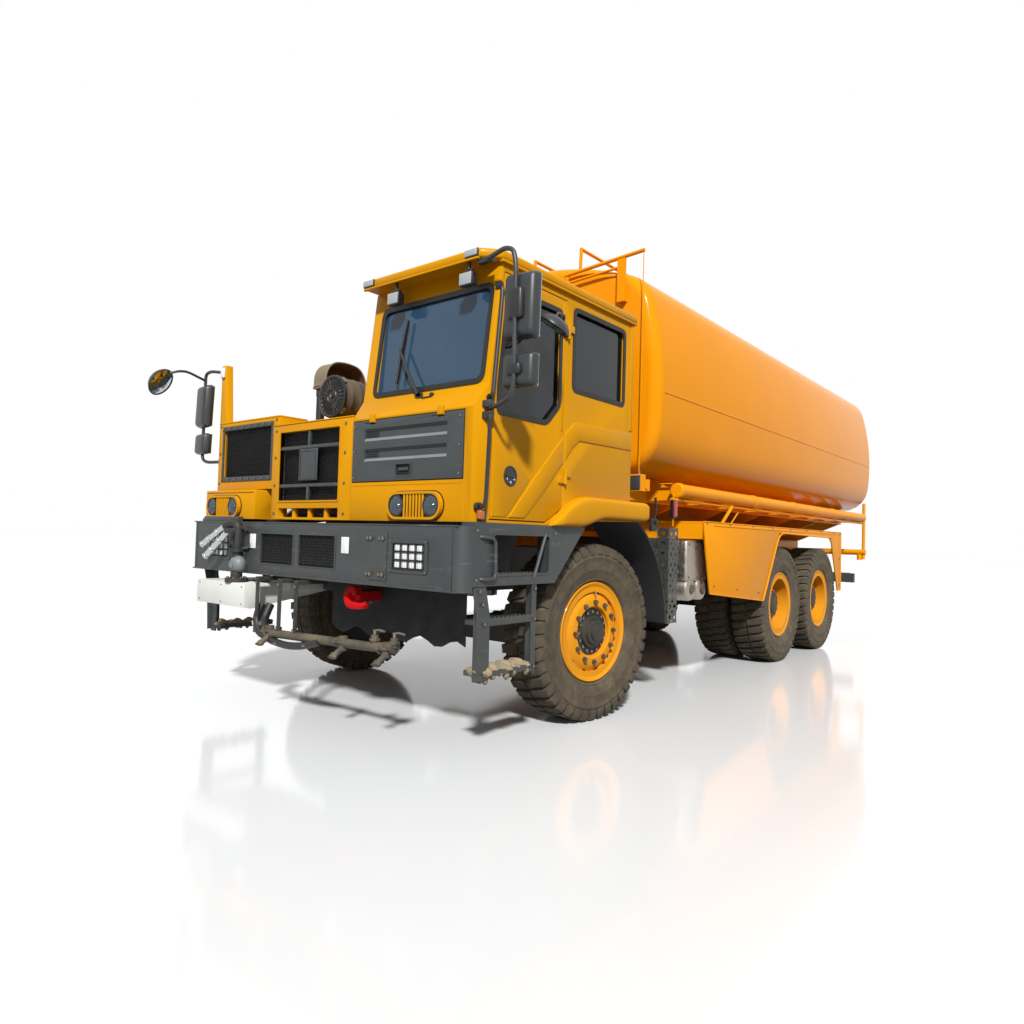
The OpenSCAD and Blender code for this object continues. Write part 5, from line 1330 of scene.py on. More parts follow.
class TANKER_OT_bumper(bpy.types.Operator):
    """Add the bumper's mesh windows, lamps, reflectors, joint plate and hook"""

    bl_idname = "tanker.bumper"
    bl_label = "Bumper"

    def execute(self, context):
        eased("front_bumper", 0.006, "grey")
        bm = bmesh.new()
        for x in (-0.53, -0.034):
            mesh_panel(bm, at(x, BUMPER_Y + 0.01, 1.112), at(x + 0.427, BUMPER_Y + 0.01, 1.34), 1, 0.02, 0.008)
            # Painted shade: a black sheet behind each mesh window stands for the dark inside of the bumper
            with coat(bm, 1):
                slab(bm, at(x, BUMPER_Y + 0.0135, 1.112), at(x + 0.427, BUMPER_Y + 0.0155, 1.34))
            with coat(bm, 2):
                ring_plate(bm, front_oblong(BUMPER_Y, x - 0.008, 1.104, x + 0.435, 1.348), 0.01, (0, -0.004, 0), 0.02)
        with coat(bm, 3):
            for x in (-0.677, 0.466):
                slab(bm, at(x, BUMPER_Y - 0.006, 1.222), at(x + 0.08, BUMPER_Y - 0.0005, 1.334), 0.003)
        # Bolted joint plate between the bumper's halves
        with coat(bm, 2):
            slab(bm, at(0.765, BUMPER_Y - 0.008, 1.06), at(0.935, BUMPER_Y - 0.0005, 1.374), 0.004)
            slab(bm, at(-1.45, -1.6, 1.426), at(-0.92, -1.545, 1.47), 0.006)
            slab(bm, at(-1.56, BUMPER_Y - 0.003, 1.418), at(1.56, BUMPER_Y + 0.002, 1.428), 0.002)
            slab(bm, at(-1.56, BUMPER_Y - 0.003, 1.022), at(1.56, BUMPER_Y + 0.002, 1.034), 0.002)
            # Cover plates of the work lamps
            for x in (0.962, -1.31):
                ring_plate(bm, front_oblong(BUMPER_Y, x, 1.118, x + 0.348, 1.332), 0.026, (0, -0.006, 0), 0.02)
        with coat(bm, 4):
            for x in (0.79, 0.91):
                for z in (1.1, 1.335):
                    hexagon(bm, at(x, BUMPER_Y - 0.008, z), (0, -1, 0), 0.03, 0.014)
                    hexagon(bm, at(x - 0.035, BUMPER_Y - 0.008, z), (0, -1, 0), 0.024, 0.01)
            for left in (0.962, -1.31):
                front_bolts(bm, (left + 0.01, left + 0.338), BUMPER_Y - 0.006, (1.13, 1.32), 0.014, 0.006)
        # Square work lamps: dark well, a grid of white LEDs 68 by 54 mm apart and a wire guard
        for left in (1.0, -1.272):
            with coat(bm, 1):
                slab(bm, at(left, BUMPER_Y + 0.004, 1.142), at(left + 0.272, BUMPER_Y + 0.014, 1.31), 0.004)
            with coat(bm, 5):
                for row in range(3):
                    for column in range(4):
                        x, z = left + 0.034 + 0.068 * column, 1.172 + 0.054 * row
                        slab(bm, at(x - 0.027, BUMPER_Y - 0.002, z - 0.021), at(x + 0.027, BUMPER_Y + 0.006, z + 0.021),
                             0.004)
            with coat(bm, 1):
                for row in range(4):
                    z = 1.145 + 0.054 * row
                    rod(bm, at(left, BUMPER_Y - 0.01, z), at(left + 0.272, BUMPER_Y - 0.01, z), 0.003, sides=6)
                for column in range(5):
                    x = left + 0.068 * column
                    rod(bm, at(x, BUMPER_Y - 0.01, 1.142), at(x, BUMPER_Y - 0.01, 1.31), 0.003, sides=6)
        # Weld beads where the rounded ends meet the beam
        with coat(bm, 2):
            for x in (-1.508, 1.508):
                rod(bm, at(x, BUMPER_Y - 0.001, 1.03), at(x, BUMPER_Y - 0.001, 1.42), 0.004, sides=8)
        finished("bumper_fittings", bm, "mesh liner grey reflector bolt led")

        bm = bmesh.new()
        # An open hook cut from thick plate, its lower jaw longer and turned up at the tip
        x, z = 0.455, 0.915

        def arc(r, degrees):
            return [(x + r * math.cos(math.radians(a)), z + r * math.sin(math.radians(a))) for a in degrees]

        outline = arc(0.082, range(55, 276, 15))
        outline += [(0.54, 0.836), (0.585, 0.848), (0.598, 0.872), (0.585, 0.888), (0.545, 0.88), (0.5, 0.882)]
        outline += arc(0.034, range(300, 29, -15)) + [(0.52, 0.934)]
        plate(bm, front_points(-1.473, outline), (0, -0.05, 0), 0.01)
        slab(bm, at(0.41, -1.48, 0.882), at(0.5, -1.275, 0.957), 0.01)
        with coat(bm, 1):
            rod(bm, at(0.47, -1.5, 0.985), at(0.47, -1.5, 0.935), 0.011)
            for side_x in (0.43, 0.48):
                hexagon(bm, at(side_x, -1.36, 0.882), (0, 0, -1), 0.03, 0.014)
        finished("tow_hook_eye", bm, "red bolt", replaces=("tow_hook",))
        return {"FINISHED"}


def clamp(bm, centre, direction, r, width=0.025):
    """A hose clamp: a band round a pipe with its screw."""
    centre, direction = Vector(centre), Vector(direction).normalized()
    rod(bm, centre - direction * width / 2, centre + direction * width / 2, r, sides=24)
    side = direction.cross(Vector((0, 0, 1))).normalized()
    rod(bm, centre + side * r - direction * 0.018, centre + side * r + direction * 0.018, 0.007, sides=8)


def fan_nozzle(bm, joint, tip):
    """A spray head: valve body, elbow and the flattened fan at its tip."""
    joint, tip = Vector(joint), Vector(tip)
    run = tip - joint
    rod(bm, joint + Vector((0, 0, 0.075)), joint - Vector((0, 0, 0.02)), 0.03, sides=20)
    rod(bm, joint + Vector((0, 0, 0.048)), joint + Vector((0, 0, 0.032)), 0.044, sides=20)
    pipe(bm, [joint, joint + run * 0.45, tip - run * 0.18], 0.02, 0.03, 4)
    verts = bmesh.ops.create_cone(bm, cap_ends=True, segments=20, radius1=0.026, radius2=0.04,
                                  depth=run.length * 0.24)["verts"]
    for vert in verts:
        if vert.co.z > 0:
            vert.co.y *= 0.3
    bmesh.ops.transform(bm, matrix=facing(tip - run * 0.1, run), verts=verts)


class TANKER_OT_water_gear(bpy.types.Operator):
    """Add the front valve box, the spray pipe, its hoses, valves and nozzles"""

    bl_idname = "tanker.water_gear"
    bl_label = "Water gear"

    def execute(self, context):
        bm = bmesh.new()
        eased("valve_box", 0.006, "white")
        front_bolts(bm, (-1.165, -0.84, -0.54), -1.76, (0.8, 0.93), 0.012, 0.004)
        finished("tray_screws", bm, "bolt")

        bm = bmesh.new()
        # Main spray pipe, bent up towards its left end
        pipe(bm, [at(-0.25, -1.7, 0.61), at(0.35, -1.7, 0.628), at(0.908, -1.7, 0.642), at(1.118, -1.7, 0.662)], 0.03,
             0.2, 5)
        for x, z in ((-0.252, 0.61), (1.12, 0.662)):
            rod(bm, at(x - 0.012, -1.7, z), at(x + 0.012, -1.7, z), 0.04, sides=24)
        # Feed hoses from the tray, a twin pair that sags under the pipe
        with coat(bm, 1):
            pipe(bm, [at(-0.452, -1.64, 0.8), at(-0.44, -1.69, 0.7), at(-0.377, -1.705, 0.606), at(-0.255, -1.7, 0.575),
                      at(-0.18, -1.7, 0.56)], 0.032, 0.12, 5)
            pipe(bm, [at(-0.4, -1.6, 0.8), at(-0.38, -1.665, 0.69), at(-0.31, -1.69, 0.64), at(-0.25, -1.7, 0.612)],
                 0.032, 0.1, 5)
            pipe(bm, [at(-0.18, -1.715, 0.56), at(0.0, -1.718, 0.545), at(0.191, -1.716, 0.562),
                      at(0.378, -1.712, 0.615)], 0.026, 0.15, 5)
        with coat(bm, 2):
            clamp(bm, at(-0.42, -1.697, 0.665), (0.2, -0.05, -0.3), 0.03)
            clamp(bm, at(-0.352, -1.68, 0.665), (0.25, -0.05, -0.2), 0.03)
            clamp(bm, at(-0.1, -1.716, 0.553), (1, 0, -0.05), 0.024)
            clamp(bm, at(0.24, -1.715, 0.575), (1, 0, 0.3), 0.024)
        for x in (-0.235, 0.62, 1.05):
            z = 0.625 + 0.015 * x
            clamp(bm, at(x - 0.05, -1.7, z), (1, 0, 0.02), 0.036, 0.018)
            fan_nozzle(bm, at(x, -1.7, z - 0.03), at(x + 0.01, -1.795, z - 0.085))
        # Stop valves on the left: bodies, stems and hand levers
        for x in (0.936, 1.12):
            rod(bm, at(x, -1.7, 0.66), at(x, -1.7, 0.72), 0.024, sides=20)
            rod(bm, at(x, -1.7, 0.684), at(x, -1.7, 0.7), 0.036, sides=6)
            with coat(bm, 2):
                rod(bm, at(x, -1.7, 0.716), at(x, -1.7, 0.748), 0.01)
                pipe(bm, [at(x - 0.01, -1.7, 0.746), at(x + 0.04, -1.7, 0.756), at(x + 0.095, -1.705, 0.752)], 0.008,
                     0.02)
        # Hangers from the frame: flat black bars with a foot bolted round the pipe
        with coat(bm, 3):
            for x in (-0.44, -0.15, 0.052):
                slab(bm, at(x, -1.706, 0.595), at(x + 0.045, -1.698, 0.995), 0.003)
                slab(bm, at(x - 0.006, -1.712, 0.596), at(x + 0.051, -1.69, 0.668), 0.003)
                slab(bm, at(x, -1.708, 0.985), at(x + 0.045, -1.44, 1.015), 0.003)
        with coat(bm, 2):
            for x in (-0.44, -0.15, 0.052):
                hexagon(bm, at(x + 0.022, -1.712, 0.655), (0, -1, 0), 0.024, 0.01)
                hexagon(bm, at(x + 0.022, -1.708, 0.97), (0, -1, 0), 0.024, 0.01)
        finished("front_spray_pipe", bm, "pipe hose bolt black", replaces=("front_spray_bar",))

        bm = bmesh.new()
        # Water monitor on the tray: flange, riser, grey ball valve, hand wheel and two plated barrels
        x, y = -0.735, -1.695
        rod(bm, at(x, y, 0.955), at(x, y, 0.985), 0.085, sides=32)
        rod(bm, at(x, y, 0.975), at(x, y, 1.36), 0.045, 0.04, sides=24)
        rod(bm, at(x, y, 1.19), at(x, y, 1.215), 0.064, sides=24)
        spun(bm, [(0.07, -0.012), (0.092, -0.016), (0.098, 0.0), (0.092, 0.016), (0.07, 0.012), (0.07, -0.012)],
             facing(at(x + 0.03, y + 0.02, 1.3), (0.9, -0.45, 0)), 32)
        pipe(bm, [at(x, y, 1.34), at(x, y, 1.4), at(x - 0.07, y - 0.01, 1.418), at(x - 0.15, y - 0.02, 1.385)], 0.036,
             0.08, 5)
        slab(bm, at(x - 0.13, y - 0.05, 1.33), at(x + 0.02, y + 0.03, 1.376), 0.012)
        with coat(bm, 1):
            for c, s in around(8):
                hexagon(bm, at(x + 0.068 * c, y + 0.068 * s, 0.985), (0, 0, 1), 0.022, 0.012)
        with coat(bm, 2):
            bmesh.ops.create_uvsphere(bm, u_segments=28, v_segments=16, radius=0.072, matrix=Matrix.Translation(
                at(x + 0.02, y - 0.004, 1.095)) @ Matrix.Diagonal((1.0, 0.8, 0.95, 1)))
            rod(bm, at(x + 0.02, y - 0.05, 1.095), at(x + 0.02, y - 0.062, 1.095), 0.03, sides=20)
        with coat(bm, 3):
            for rise, reach in ((0.0, 0.0), (0.062, -0.06)):
                root = at(x - 0.105 + reach * 0.4, y - 0.02, 1.352 + rise * 0.75)
                tip = at(x - 0.4 + reach * 0.9, y - 0.045, 1.14 + rise * 1.5)
                rod(bm, root, tip, 0.026, sides=24)
                for part in (0.35, 0.7, 0.96):
                    spot = root.lerp(tip, part)
                    run = (tip - root).normalized()
                    rod(bm, spot - run * 0.01, spot + run * 0.01, 0.031, sides=24)
        finished("water_monitor", bm, "black bolt lip chrome")
        return {"FINISHED"}


# ------------------------------------------------------------------ steps, guards and side gear


class TANKER_OT_steps(bpy.types.Operator):
    """Add the side steps' treads, loops, bolts and caked mud"""

    bl_idname = "tanker.steps"
    bl_label = "Side steps"

    def execute(self, context):
        bm = bmesh.new()
        for side in (1, -1):
            spot = on_side(side)
            # Grab loop and the second bent tube behind it
            pipe(bm, [spot(1.5, -1.473, 1.363), spot(1.614, -1.47, 1.363), spot(1.618, -1.348, 1.352),
                      spot(1.618, -1.336, 1.105), spot(1.614, -1.461, 1.105), spot(1.5, -1.465, 1.105)], 0.012, 0.04)
            pipe(bm, [spot(1.54, -0.76, 1.42), spot(1.6, -0.8, 1.4), spot(1.604, -0.905, 1.16), spot(1.6, -0.93, 1.09),
                      spot(1.54, -0.94, 1.08)], 0.012, 0.06)
            # Frame round the foot hole
            ring = [spot(1.6, -1.356, 1.119), spot(1.6, -0.754, 1.119), spot(1.6, -0.754, 1.391),
                    spot(1.6, -1.356, 1.391)]
            ring_plate(bm, ring, 0.014, Vector((side * 0.005, 0, 0)), 0.03)
            # Treads: perforated strips with turned-up serrated edges
            for z, y0, y1 in ((1.125, -1.29, -0.862), (0.847, -1.405, -0.902)):
                mesh_panel(bm, at(side * 1.43, y0, z + 0.004), at(side * 1.592, y1, z + 0.004), 2, 0.026, 0.01)
                slab(bm, spot(1.584, y0, z - 0.034), spot(1.594, y1, z + 0.01), 0.003)
                for i in range(12):
                    y = y0 + (y1 - y0) * (i + 0.5) / 12
                    slab(bm, spot(1.585, y - 0.009, z + 0.004), spot(1.593, y + 0.009, z + 0.018), 0.002)
            # Ladder plates hang in a slight zigzag at the front
            plate(bm, [spot(1.592, -1.512, 1.06), spot(1.592, -1.394, 1.06), spot(1.592, -1.35, 0.88),
                       spot(1.592, -1.345, 0.485), spot(1.592, -1.452, 0.485), spot(1.592, -1.47, 0.88)],
                  Vector((-side * 0.01, 0, 0)), 0.003)
            plate(bm, [spot(1.592, -0.93, 1.06), spot(1.592, -0.88, 1.06), spot(1.592, -0.88, 0.485),
                       spot(1.592, -0.93, 0.485)], Vector((-side * 0.01, 0, 0)), 0.003)
            with coat(bm, 1):
                for y, z in ((-1.46, 1.03), (-1.43, 0.95), (-1.41, 0.83), (-1.4, 0.52), (-0.905, 1.03), (-0.905, 0.83),
                             (-0.905, 0.52), (-1.5, 1.4), (-1.5, 1.1), (-0.7, 1.4)):
                    hexagon(bm, spot(1.596, y, z), (side, 0, 0), 0.022, 0.009)
        finished("step_fittings", bm, "grey bolt")

        # Mud caked over the lowest treads, as lumps that thin out towards the edges
        bm = bmesh.new()
        for side in (1, -1):
            for i in range(15):
                y = -1.385 + 0.034 * i
                wave = math.sin(i * 2.1) * 0.012 + math.sin(i * 0.9 + side) * 0.01
                high = 0.03 + 0.016 * math.sin(i * 1.7 + 0.4 * side)
                shape = Matrix.Diagonal((0.072 + wave, 0.034, high, 1))
                bmesh.ops.create_icosphere(bm, subdivisions=3, radius=1.0,
                                           matrix=Matrix.Translation(at(side * (1.515 + wave), y, 0.528)) @ shape)
                if i % 2:
                    shape = Matrix.Diagonal((0.02, 0.026, 0.03 + wave, 1))
                    bmesh.ops.create_icosphere(bm, subdivisions=3, radius=1.0,
                                               matrix=Matrix.Translation(at(side * 1.57, y, 0.5)) @ shape)
        for vert in bm.verts:
            p = vert.co
            swell = (math.sin(p.x * 71 + p.z * 43) + math.sin(p.y * 93 + p.x * 37) + math.sin(p.z * 121 + p.y * 51))
            vert.co += vert.normal * swell * 0.0022
        finished("caked_mud_on_treads", bm, "mud", sharp=80)
        return {"FINISHED"}


def perforated(bm, corner, along, up, nx, nz, hole):
    """A sheet punched with round holes: each cell of the sheet is a square frame round one hole."""
    corner, along, up = Vector(corner), Vector(along), Vector(up)
    step_a, step_u = along / nx, up / nz
    for i in range(nx):
        for k in range(nz):
            middle = corner + step_a * (i + 0.5) + step_u * (k + 0.5)
            inner, outer = [], []
            for c, s in around(12):
                reach = 0.5 / max(abs(c), abs(s))
                inner.append(bm.verts.new(middle + (along.normalized() * c + up.normalized() * s) * hole))
                outer.append(bm.verts.new(middle + step_a * c * reach + step_u * s * reach))
            for n in range(12):
                bm.faces.new((outer[n - 1], outer[n], inner[n], inner[n - 1]))


class TANKER_OT_side_gear(bpy.types.Operator):
    """Add the perforated guards, the silencer, the gauge box and the side lamps"""

    bl_idname = "tanker.side_gear"
    bl_label = "Side gear"

    def execute(self, context):
        bm = bmesh.new()
        for side in (1, -1):
            spot = on_side(side)
            perforated(bm, spot(1.482, 1.01, 0.664), (side * 0.106, 0, 0), (0, 0, 0.822), 1, 9, 0.02)
            perforated(bm, spot(1.59, 1.012, 0.664), (0, 0.166, 0), (0, 0, 0.822), 2, 9, 0.019)
            for x, y in ((1.482, 1.012), (1.588, 1.012), (1.588, 1.178)):
                slab(bm, spot(x - 0.006, y - 0.003, 0.66), spot(x + 0.002, y + 0.003, 1.49), 0.002)
            slab(bm, spot(1.478, 1.008, 0.656), spot(1.592, 1.016, 0.668), 0.002)
            slab(bm, spot(1.586, 1.01, 0.656), spot(1.594, 1.182, 0.668), 0.002)
            slab(bm, spot(0.475, 1.024, 1.305), spot(1.585, 1.058, 1.395), 0.008)
            with coat(bm, 1):
                for z in (0.8, 1.1, 1.4):
                    hexagon(bm, spot(1.591, 1.02, z), (side, 0, 0), 0.022, 0.008)
                    hexagon(bm, spot(1.591, 1.17, z), (side, 0, 0), 0.022, 0.008)
        finished("perforated_guards", bm, "guardsteel bolt", replaces=("side_guards",))

        bm = bmesh.new()
        y0, y1, z0, z1 = 1.476, 1.93, 1.0, 1.39
        slab(bm, at(0.882, y0 + 0.002, z0 + 0.002), at(1.538, y1 - 0.002, z1 - 0.002), 0.03)
        for x in (1.02, 1.24, 1.46):
            ring_plate(bm, [at(x, y0, z0), at(x, y1, z0), at(x, y1, z1), at(x, y0, z1)], 0.012, (0.018, 0, 0), 0.04)
        for y in (1.59, 1.815):
            place = along_x(at(0.9, y, 0.93))
            spun(bm, [(0.0, 0.0), (0.085, 0.002), (0.104, 0.014), (0.112, 0.034), (0.112, 0.606), (0.104, 0.626),
                      (0.085, 0.637), (0.06, 0.64), (0.052, 0.632), (0.0, 0.63)], place, 40)
            # Clamp bands
            for x in (1.05, 1.38):
                spun(bm, [(0.111, 0.0), (0.115, 0.002), (0.115, 0.028), (0.111, 0.03)], along_x(at(x, y, 0.93)), 40)
            with coat(bm, 1):
                rod(bm, at(1.53, y, 0.93), at(1.548, y, 0.93), 0.042, sides=24)
        slab(bm, at(0.472, 1.602, 1.152), at(0.898, 1.758, 1.248), 0.008)
        with coat(bm, 2):
            for y in (1.52, 1.7, 1.88):
                for z in (1.04, 1.35):
                    hexagon(bm, at(1.537, y, z), (1, 0, 0), 0.02, 0.008)
        finished("silencer_drums", bm, "steel rust bolt", replaces=("silencer",))

        bm = bmesh.new()
        # Fuel tank straps and cap on the right
        for y in (1.33, 1.55):
            ring_plate(bm, front_oblong(y, -1.545, 0.695, -0.875, 1.335), 0.01, (0, 0.04, 0), 0.02)
        rod(bm, at(-1.42, 1.3, 1.328), at(-1.42, 1.3, 1.362), 0.055, sides=28)
        rod(bm, at(-1.42, 1.3, 1.362), at(-1.42, 1.3, 1.376), 0.042, sides=28)
        # Lever valve and its bracket behind the left front wheel
        slab(bm, at(1.54, 0.735, 1.452), at(1.575, 0.815, 1.56), 0.006)
        pipe(bm, [at(1.56, 0.775, 1.54), at(1.588, 0.77, 1.62), at(1.592, 0.745, 1.734)], 0.011, 0.04)
        rod(bm, at(1.545, 0.775, 1.53), at(1.6, 0.775, 1.53), 0.02)
        finished("straps_and_lever", bm, "black")

        bm = bmesh.new()
        for side in (1, -1):
            place_x = side * 1.56
            slab(bm, at(place_x - 0.02, 1.11, 1.58), at(place_x + 0.02, 1.172, 1.738), 0.008)
            with coat(bm, 1):
                slab(bm, at(place_x + side * 0.018 - 0.008, 1.116, 1.588),
                     at(place_x + side * 0.018 + 0.01, 1.166, 1.73), 0.006)
            with coat(bm, 2):
                slab(bm, at(place_x - 0.008, 1.136, 1.5), at(place_x + 0.004, 1.146, 1.79), 0.002)
        finished("side_marker_lamps", bm, "trim red_lens guard")

        bm = bmesh.new()
        slab(bm, at(1.366, 0.701, 1.791), at(1.474, 0.779, 1.934), 0.01)
        slab(bm, at(1.372, 0.693, 1.8), at(1.468, 0.703, 1.924), 0.004)
        with coat(bm, 1):
            rod(bm, at(1.419, 0.76, 1.93), at(1.419, 0.76, 1.965), 0.014)
            for x, z in ((1.385, 1.81), (1.455, 1.81), (1.385, 1.915), (1.455, 1.915)):
                hexagon(bm, at(x, 0.693, z), (0, -1, 0), 0.01, 0.004)
        finished("gauge_box_cover", bm, "grey bolt")
        return {"FINISHED"}


# ------------------------------------------------------------------ mudguards and tank trim


# Arch faces lie between these distances from the front axle
ARCH_R = (0.945, 0.985)
FLARE_FRONT_Y, FLARE_LENGTH, FLARE_DEPTH = -0.752, 1.308, 0.074


def flare_section(bm, side, y):
    """One cross-section of a pressed flare: a D that stands off the cab's side, as a loop of vertices."""
    # The top edge climbs from the door's foot and levels out, and the lower edge steps up over the wheel
    climb = min(1, (y - FLARE_FRONT_Y) / 0.45)
    step = min(1, max(0, (y + 0.44) / 0.36))
    high = 1.464 + 0.212 * (1 - (1 - climb) ** 2)
    low = 1.45 + 0.07 * step * step * (3 - 2 * step)
    # The last 60 mm close in to a rounded end
    ending = max(0, (y - 0.496) / 0.06)
    half = (high - low) / 2 * math.sqrt(1 - 0.97 * ending ** 2)
    deep = FLARE_DEPTH * min(1, half / 0.045) ** 0.5
    loop = []
    for k in range(15):
        angle = math.pi * (k / 14 - 0.5)
        across, upward = abs(math.cos(angle)) ** 0.5, abs(math.sin(angle)) ** 0.5
        loop.append(bm.verts.new(at(side * (CAB_LEFT + deep * across), y,
                                    (high + low) / 2 + half * math.copysign(upward, angle))))
    return loop


class TANKER_OT_mudguards(bpy.types.Operator):
    """Add the folded edges, bolts, liners and stays of the mudguards"""

    bl_idname = "tanker.mudguards"
    bl_label = "Mudguards"

    def execute(self, context):
        piece = eased("front_fenders", 0.006, "cab liner")
        # The faces that look at the tyre take the liner
        for face in piece.data.polygons:
            corners = [piece.data.vertices[i].co for i in face.vertices]
            if all(ARCH_R[0] < math.hypot(p.y - AXLE_Y, p.z - TYRE_R) < ARCH_R[1] for p in corners):
                face.material_index = 1
        # The flat flares are drawn in, under round pressed ones
        for vert in piece.data.vertices:
            if abs(vert.co.x) > CAB_LEFT - 0.0005:
                vert.co.x = math.copysign(min(abs(vert.co.x), 1.59), vert.co.x)
                vert.co.z = min(vert.co.z, 1.56)
        bm = bmesh.new()
        for side in (1, -1):
            loops = [flare_section(bm, side, FLARE_FRONT_Y + FLARE_LENGTH * i / 44) for i in range(45)]
            for first, second in zip(loops, loops[1:]):
                for k in range(15):
                    bm.faces.new((first[k - 1], first[k], second[k], second[k - 1]))
            bm.faces.new(loops[0])
            bm.faces.new(loops[-1])
        finished("pressed_flares", bm, "cab", sharp=50)
        eased("rear_fenders", 0.005, "guard")
        bm = bmesh.new()
        for side in (1, -1):
            spot = on_side(side)
            # Folded lip round the wheel opening of the rear guard
            arch = [spot(1.606, y, z) for y, z in ((3.242, 0.746), (3.733, 1.505), (5.768, 1.485), (6.11, 0.751))]
            path = rounded(arch, 0.16, steps=8)
            for a, b in zip(path, path[1:]):
                rod(bm, a, b, 0.01, sides=10)
            # Rolled outer edges
            outer = [spot(1.606, y, z) for y, z in ((3.242, 0.746), (1.849, 0.879), (1.667, 1.565), (6.25, 1.565),
                                                    (6.26, 0.753), (6.11, 0.751))]
            for a, b in zip(outer, outer[1:]):
                rod(bm, a, b, 0.006, sides=8)
            # Stiffening swage and the two diagonal strips in front of the wheels
            slab(bm, spot(1.604, 1.9, 1.528), spot(1.611, 6.2, 1.546), 0.003)
            for low, high in (((1.809, 1.322), (2.299, 1.678)), ((1.953, 1.299), (2.524, 1.688))):
                plate(bm, [spot(1.585, low[0], low[1]), spot(1.585, low[0] + 0.03, low[1]),
                           spot(1.585, high[0] + 0.03, high[1]), spot(1.585, high[0], high[1])],
                      Vector((side * 0.006, 0, 0)), 0.002)
            with coat(bm, 1):
                for y in (1.75, 2.3, 2.9, 3.5, 4.1, 4.7, 5.3, 5.9, 6.2):
                    hexagon(bm, spot(1.606, y, 1.552), (side, 0, 0), 0.02, 0.008)
                for y, z in ((1.93, 0.95), (2.5, 0.9), (3.1, 0.84), (6.18, 0.82), (6.18, 1.2)):
                    hexagon(bm, spot(1.606, y, z), (side, 0, 0), 0.02, 0.008)
        finished("guard_edges", bm, "guard bolt")
        return {"FINISHED"}


class TANKER_OT_tank_trim(bpy.types.Operator):
    """Add the cradle's gussets, the tube straps and caps, the walkway, the vents and the lifting loops"""

    bl_idname = "tanker.tank_trim"
    bl_label = "Tank trim"

    def execute(self, context):
        eased("tank_cradle", 0.004, "guard")
        bm = bmesh.new()
        for side in (1, -1):
            spot = on_side(side)
            # Straps that hold the suction hose tubes, and their end caps
            for y in (1.358, 3.146, 4.472, 6.172):
                spun(bm, [(0.066, -0.022), (0.071, -0.02), (0.071, 0.02), (0.066, 0.022)],
                     facing(spot(1.5, y, 1.835), (0, 1, 0)), 32)
                plate(bm, [spot(1.155, y - 0.01, 1.9), spot(1.155, y + 0.01, 1.9), spot(1.435, y + 0.01, 1.9),
                           spot(1.435, y - 0.01, 1.9)], (0, 0, 0.008), 0.002)
            for y in (1.322, 7.788):
                spun(bm, [(0.0, -0.014), (0.058, -0.012), (0.068, -0.004), (0.068, 0.02), (0.0655, 0.022)],
                     facing(spot(1.5, y, 1.835), (0, 1, 0)), 32)
            # Gussets between the cradle's side plate and the tank's belly
            for y0, y1 in ((1.45, 1.65), (1.95, 2.12), (3.37, 3.55), (4.57, 4.7), (5.6, 5.78), (6.8, 6.98)):
                plate(bm, [spot(1.152, y0, 1.935), spot(1.152, y1, 1.935), spot(1.152, y1 - 0.04, 1.76),
                           spot(1.152, y0 + 0.04, 1.76)], Vector((side * 0.01, 0, 0)), 0.003)
                plate(bm, [spot(1.152, y0 + 0.09, 1.76), spot(1.152, y0 + 0.09, 1.945), spot(1.33, y0 + 0.09, 1.945)],
                      (0, 0.01, 0), 0.002)
            slab(bm, spot(1.13, 0.845, 1.735), spot(1.158, 7.93, 1.757), 0.004)
            slab(bm, spot(1.13, 0.845, 1.905), spot(1.158, 7.93, 1.925), 0.004)
        with coat(bm, 1):
            for side in (1, -1):
                for i in range(14):
                    hexagon(bm, at(side * 1.158, 1.05 + 0.5 * i, 1.83), (side, 0, 0), 0.026, 0.01)
        finished("cradle_and_tube_trim", bm, "guard bolt")

        # The walkway plate between the hoops, two vents and two lifting loops
        bm = bmesh.new()
        deck_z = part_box("tank")[1][2] - 0.09 - 0.003
        mesh_panel(bm, at(-0.27, 1.5, deck_z + 0.012), at(0.27, 3.02, deck_z + 0.012), 2, 0.045, 0.014)
        for x in (-0.275, 0.27):
            slab(bm, at(x, 1.5, deck_z - 0.012), at(x + 0.006, 3.02, deck_z + 0.016), 0.002)
        for y in (1.5, 2.02, 2.54, 3.015):
            slab(bm, at(-0.27, y, deck_z - 0.012), at(0.27, y + 0.006, deck_z + 0.012), 0.002)
        for y in (4.4, 6.6):
            spun(bm, [(0.075, -0.01), (0.074, 0.05), (0.084, 0.052), (0.084, 0.064), (0.04, 0.074), (0.0, 0.076)],
                 Matrix.Translation(at(0.0, y, deck_z)), 32)
        for x in (-0.35, 0.35):
            ring = [at(x, 4.2, deck_z - 0.015), at(x, 4.2, deck_z + 0.07), at(x, 4.35, deck_z + 0.07),
                    at(x, 4.35, deck_z - 0.015)]
            pipe(bm, ring, 0.01, 0.03)
        finished("walkway_and_vents", bm, "tank")
        return {"FINISHED"}


# ------------------------------------------------------------------ air intake


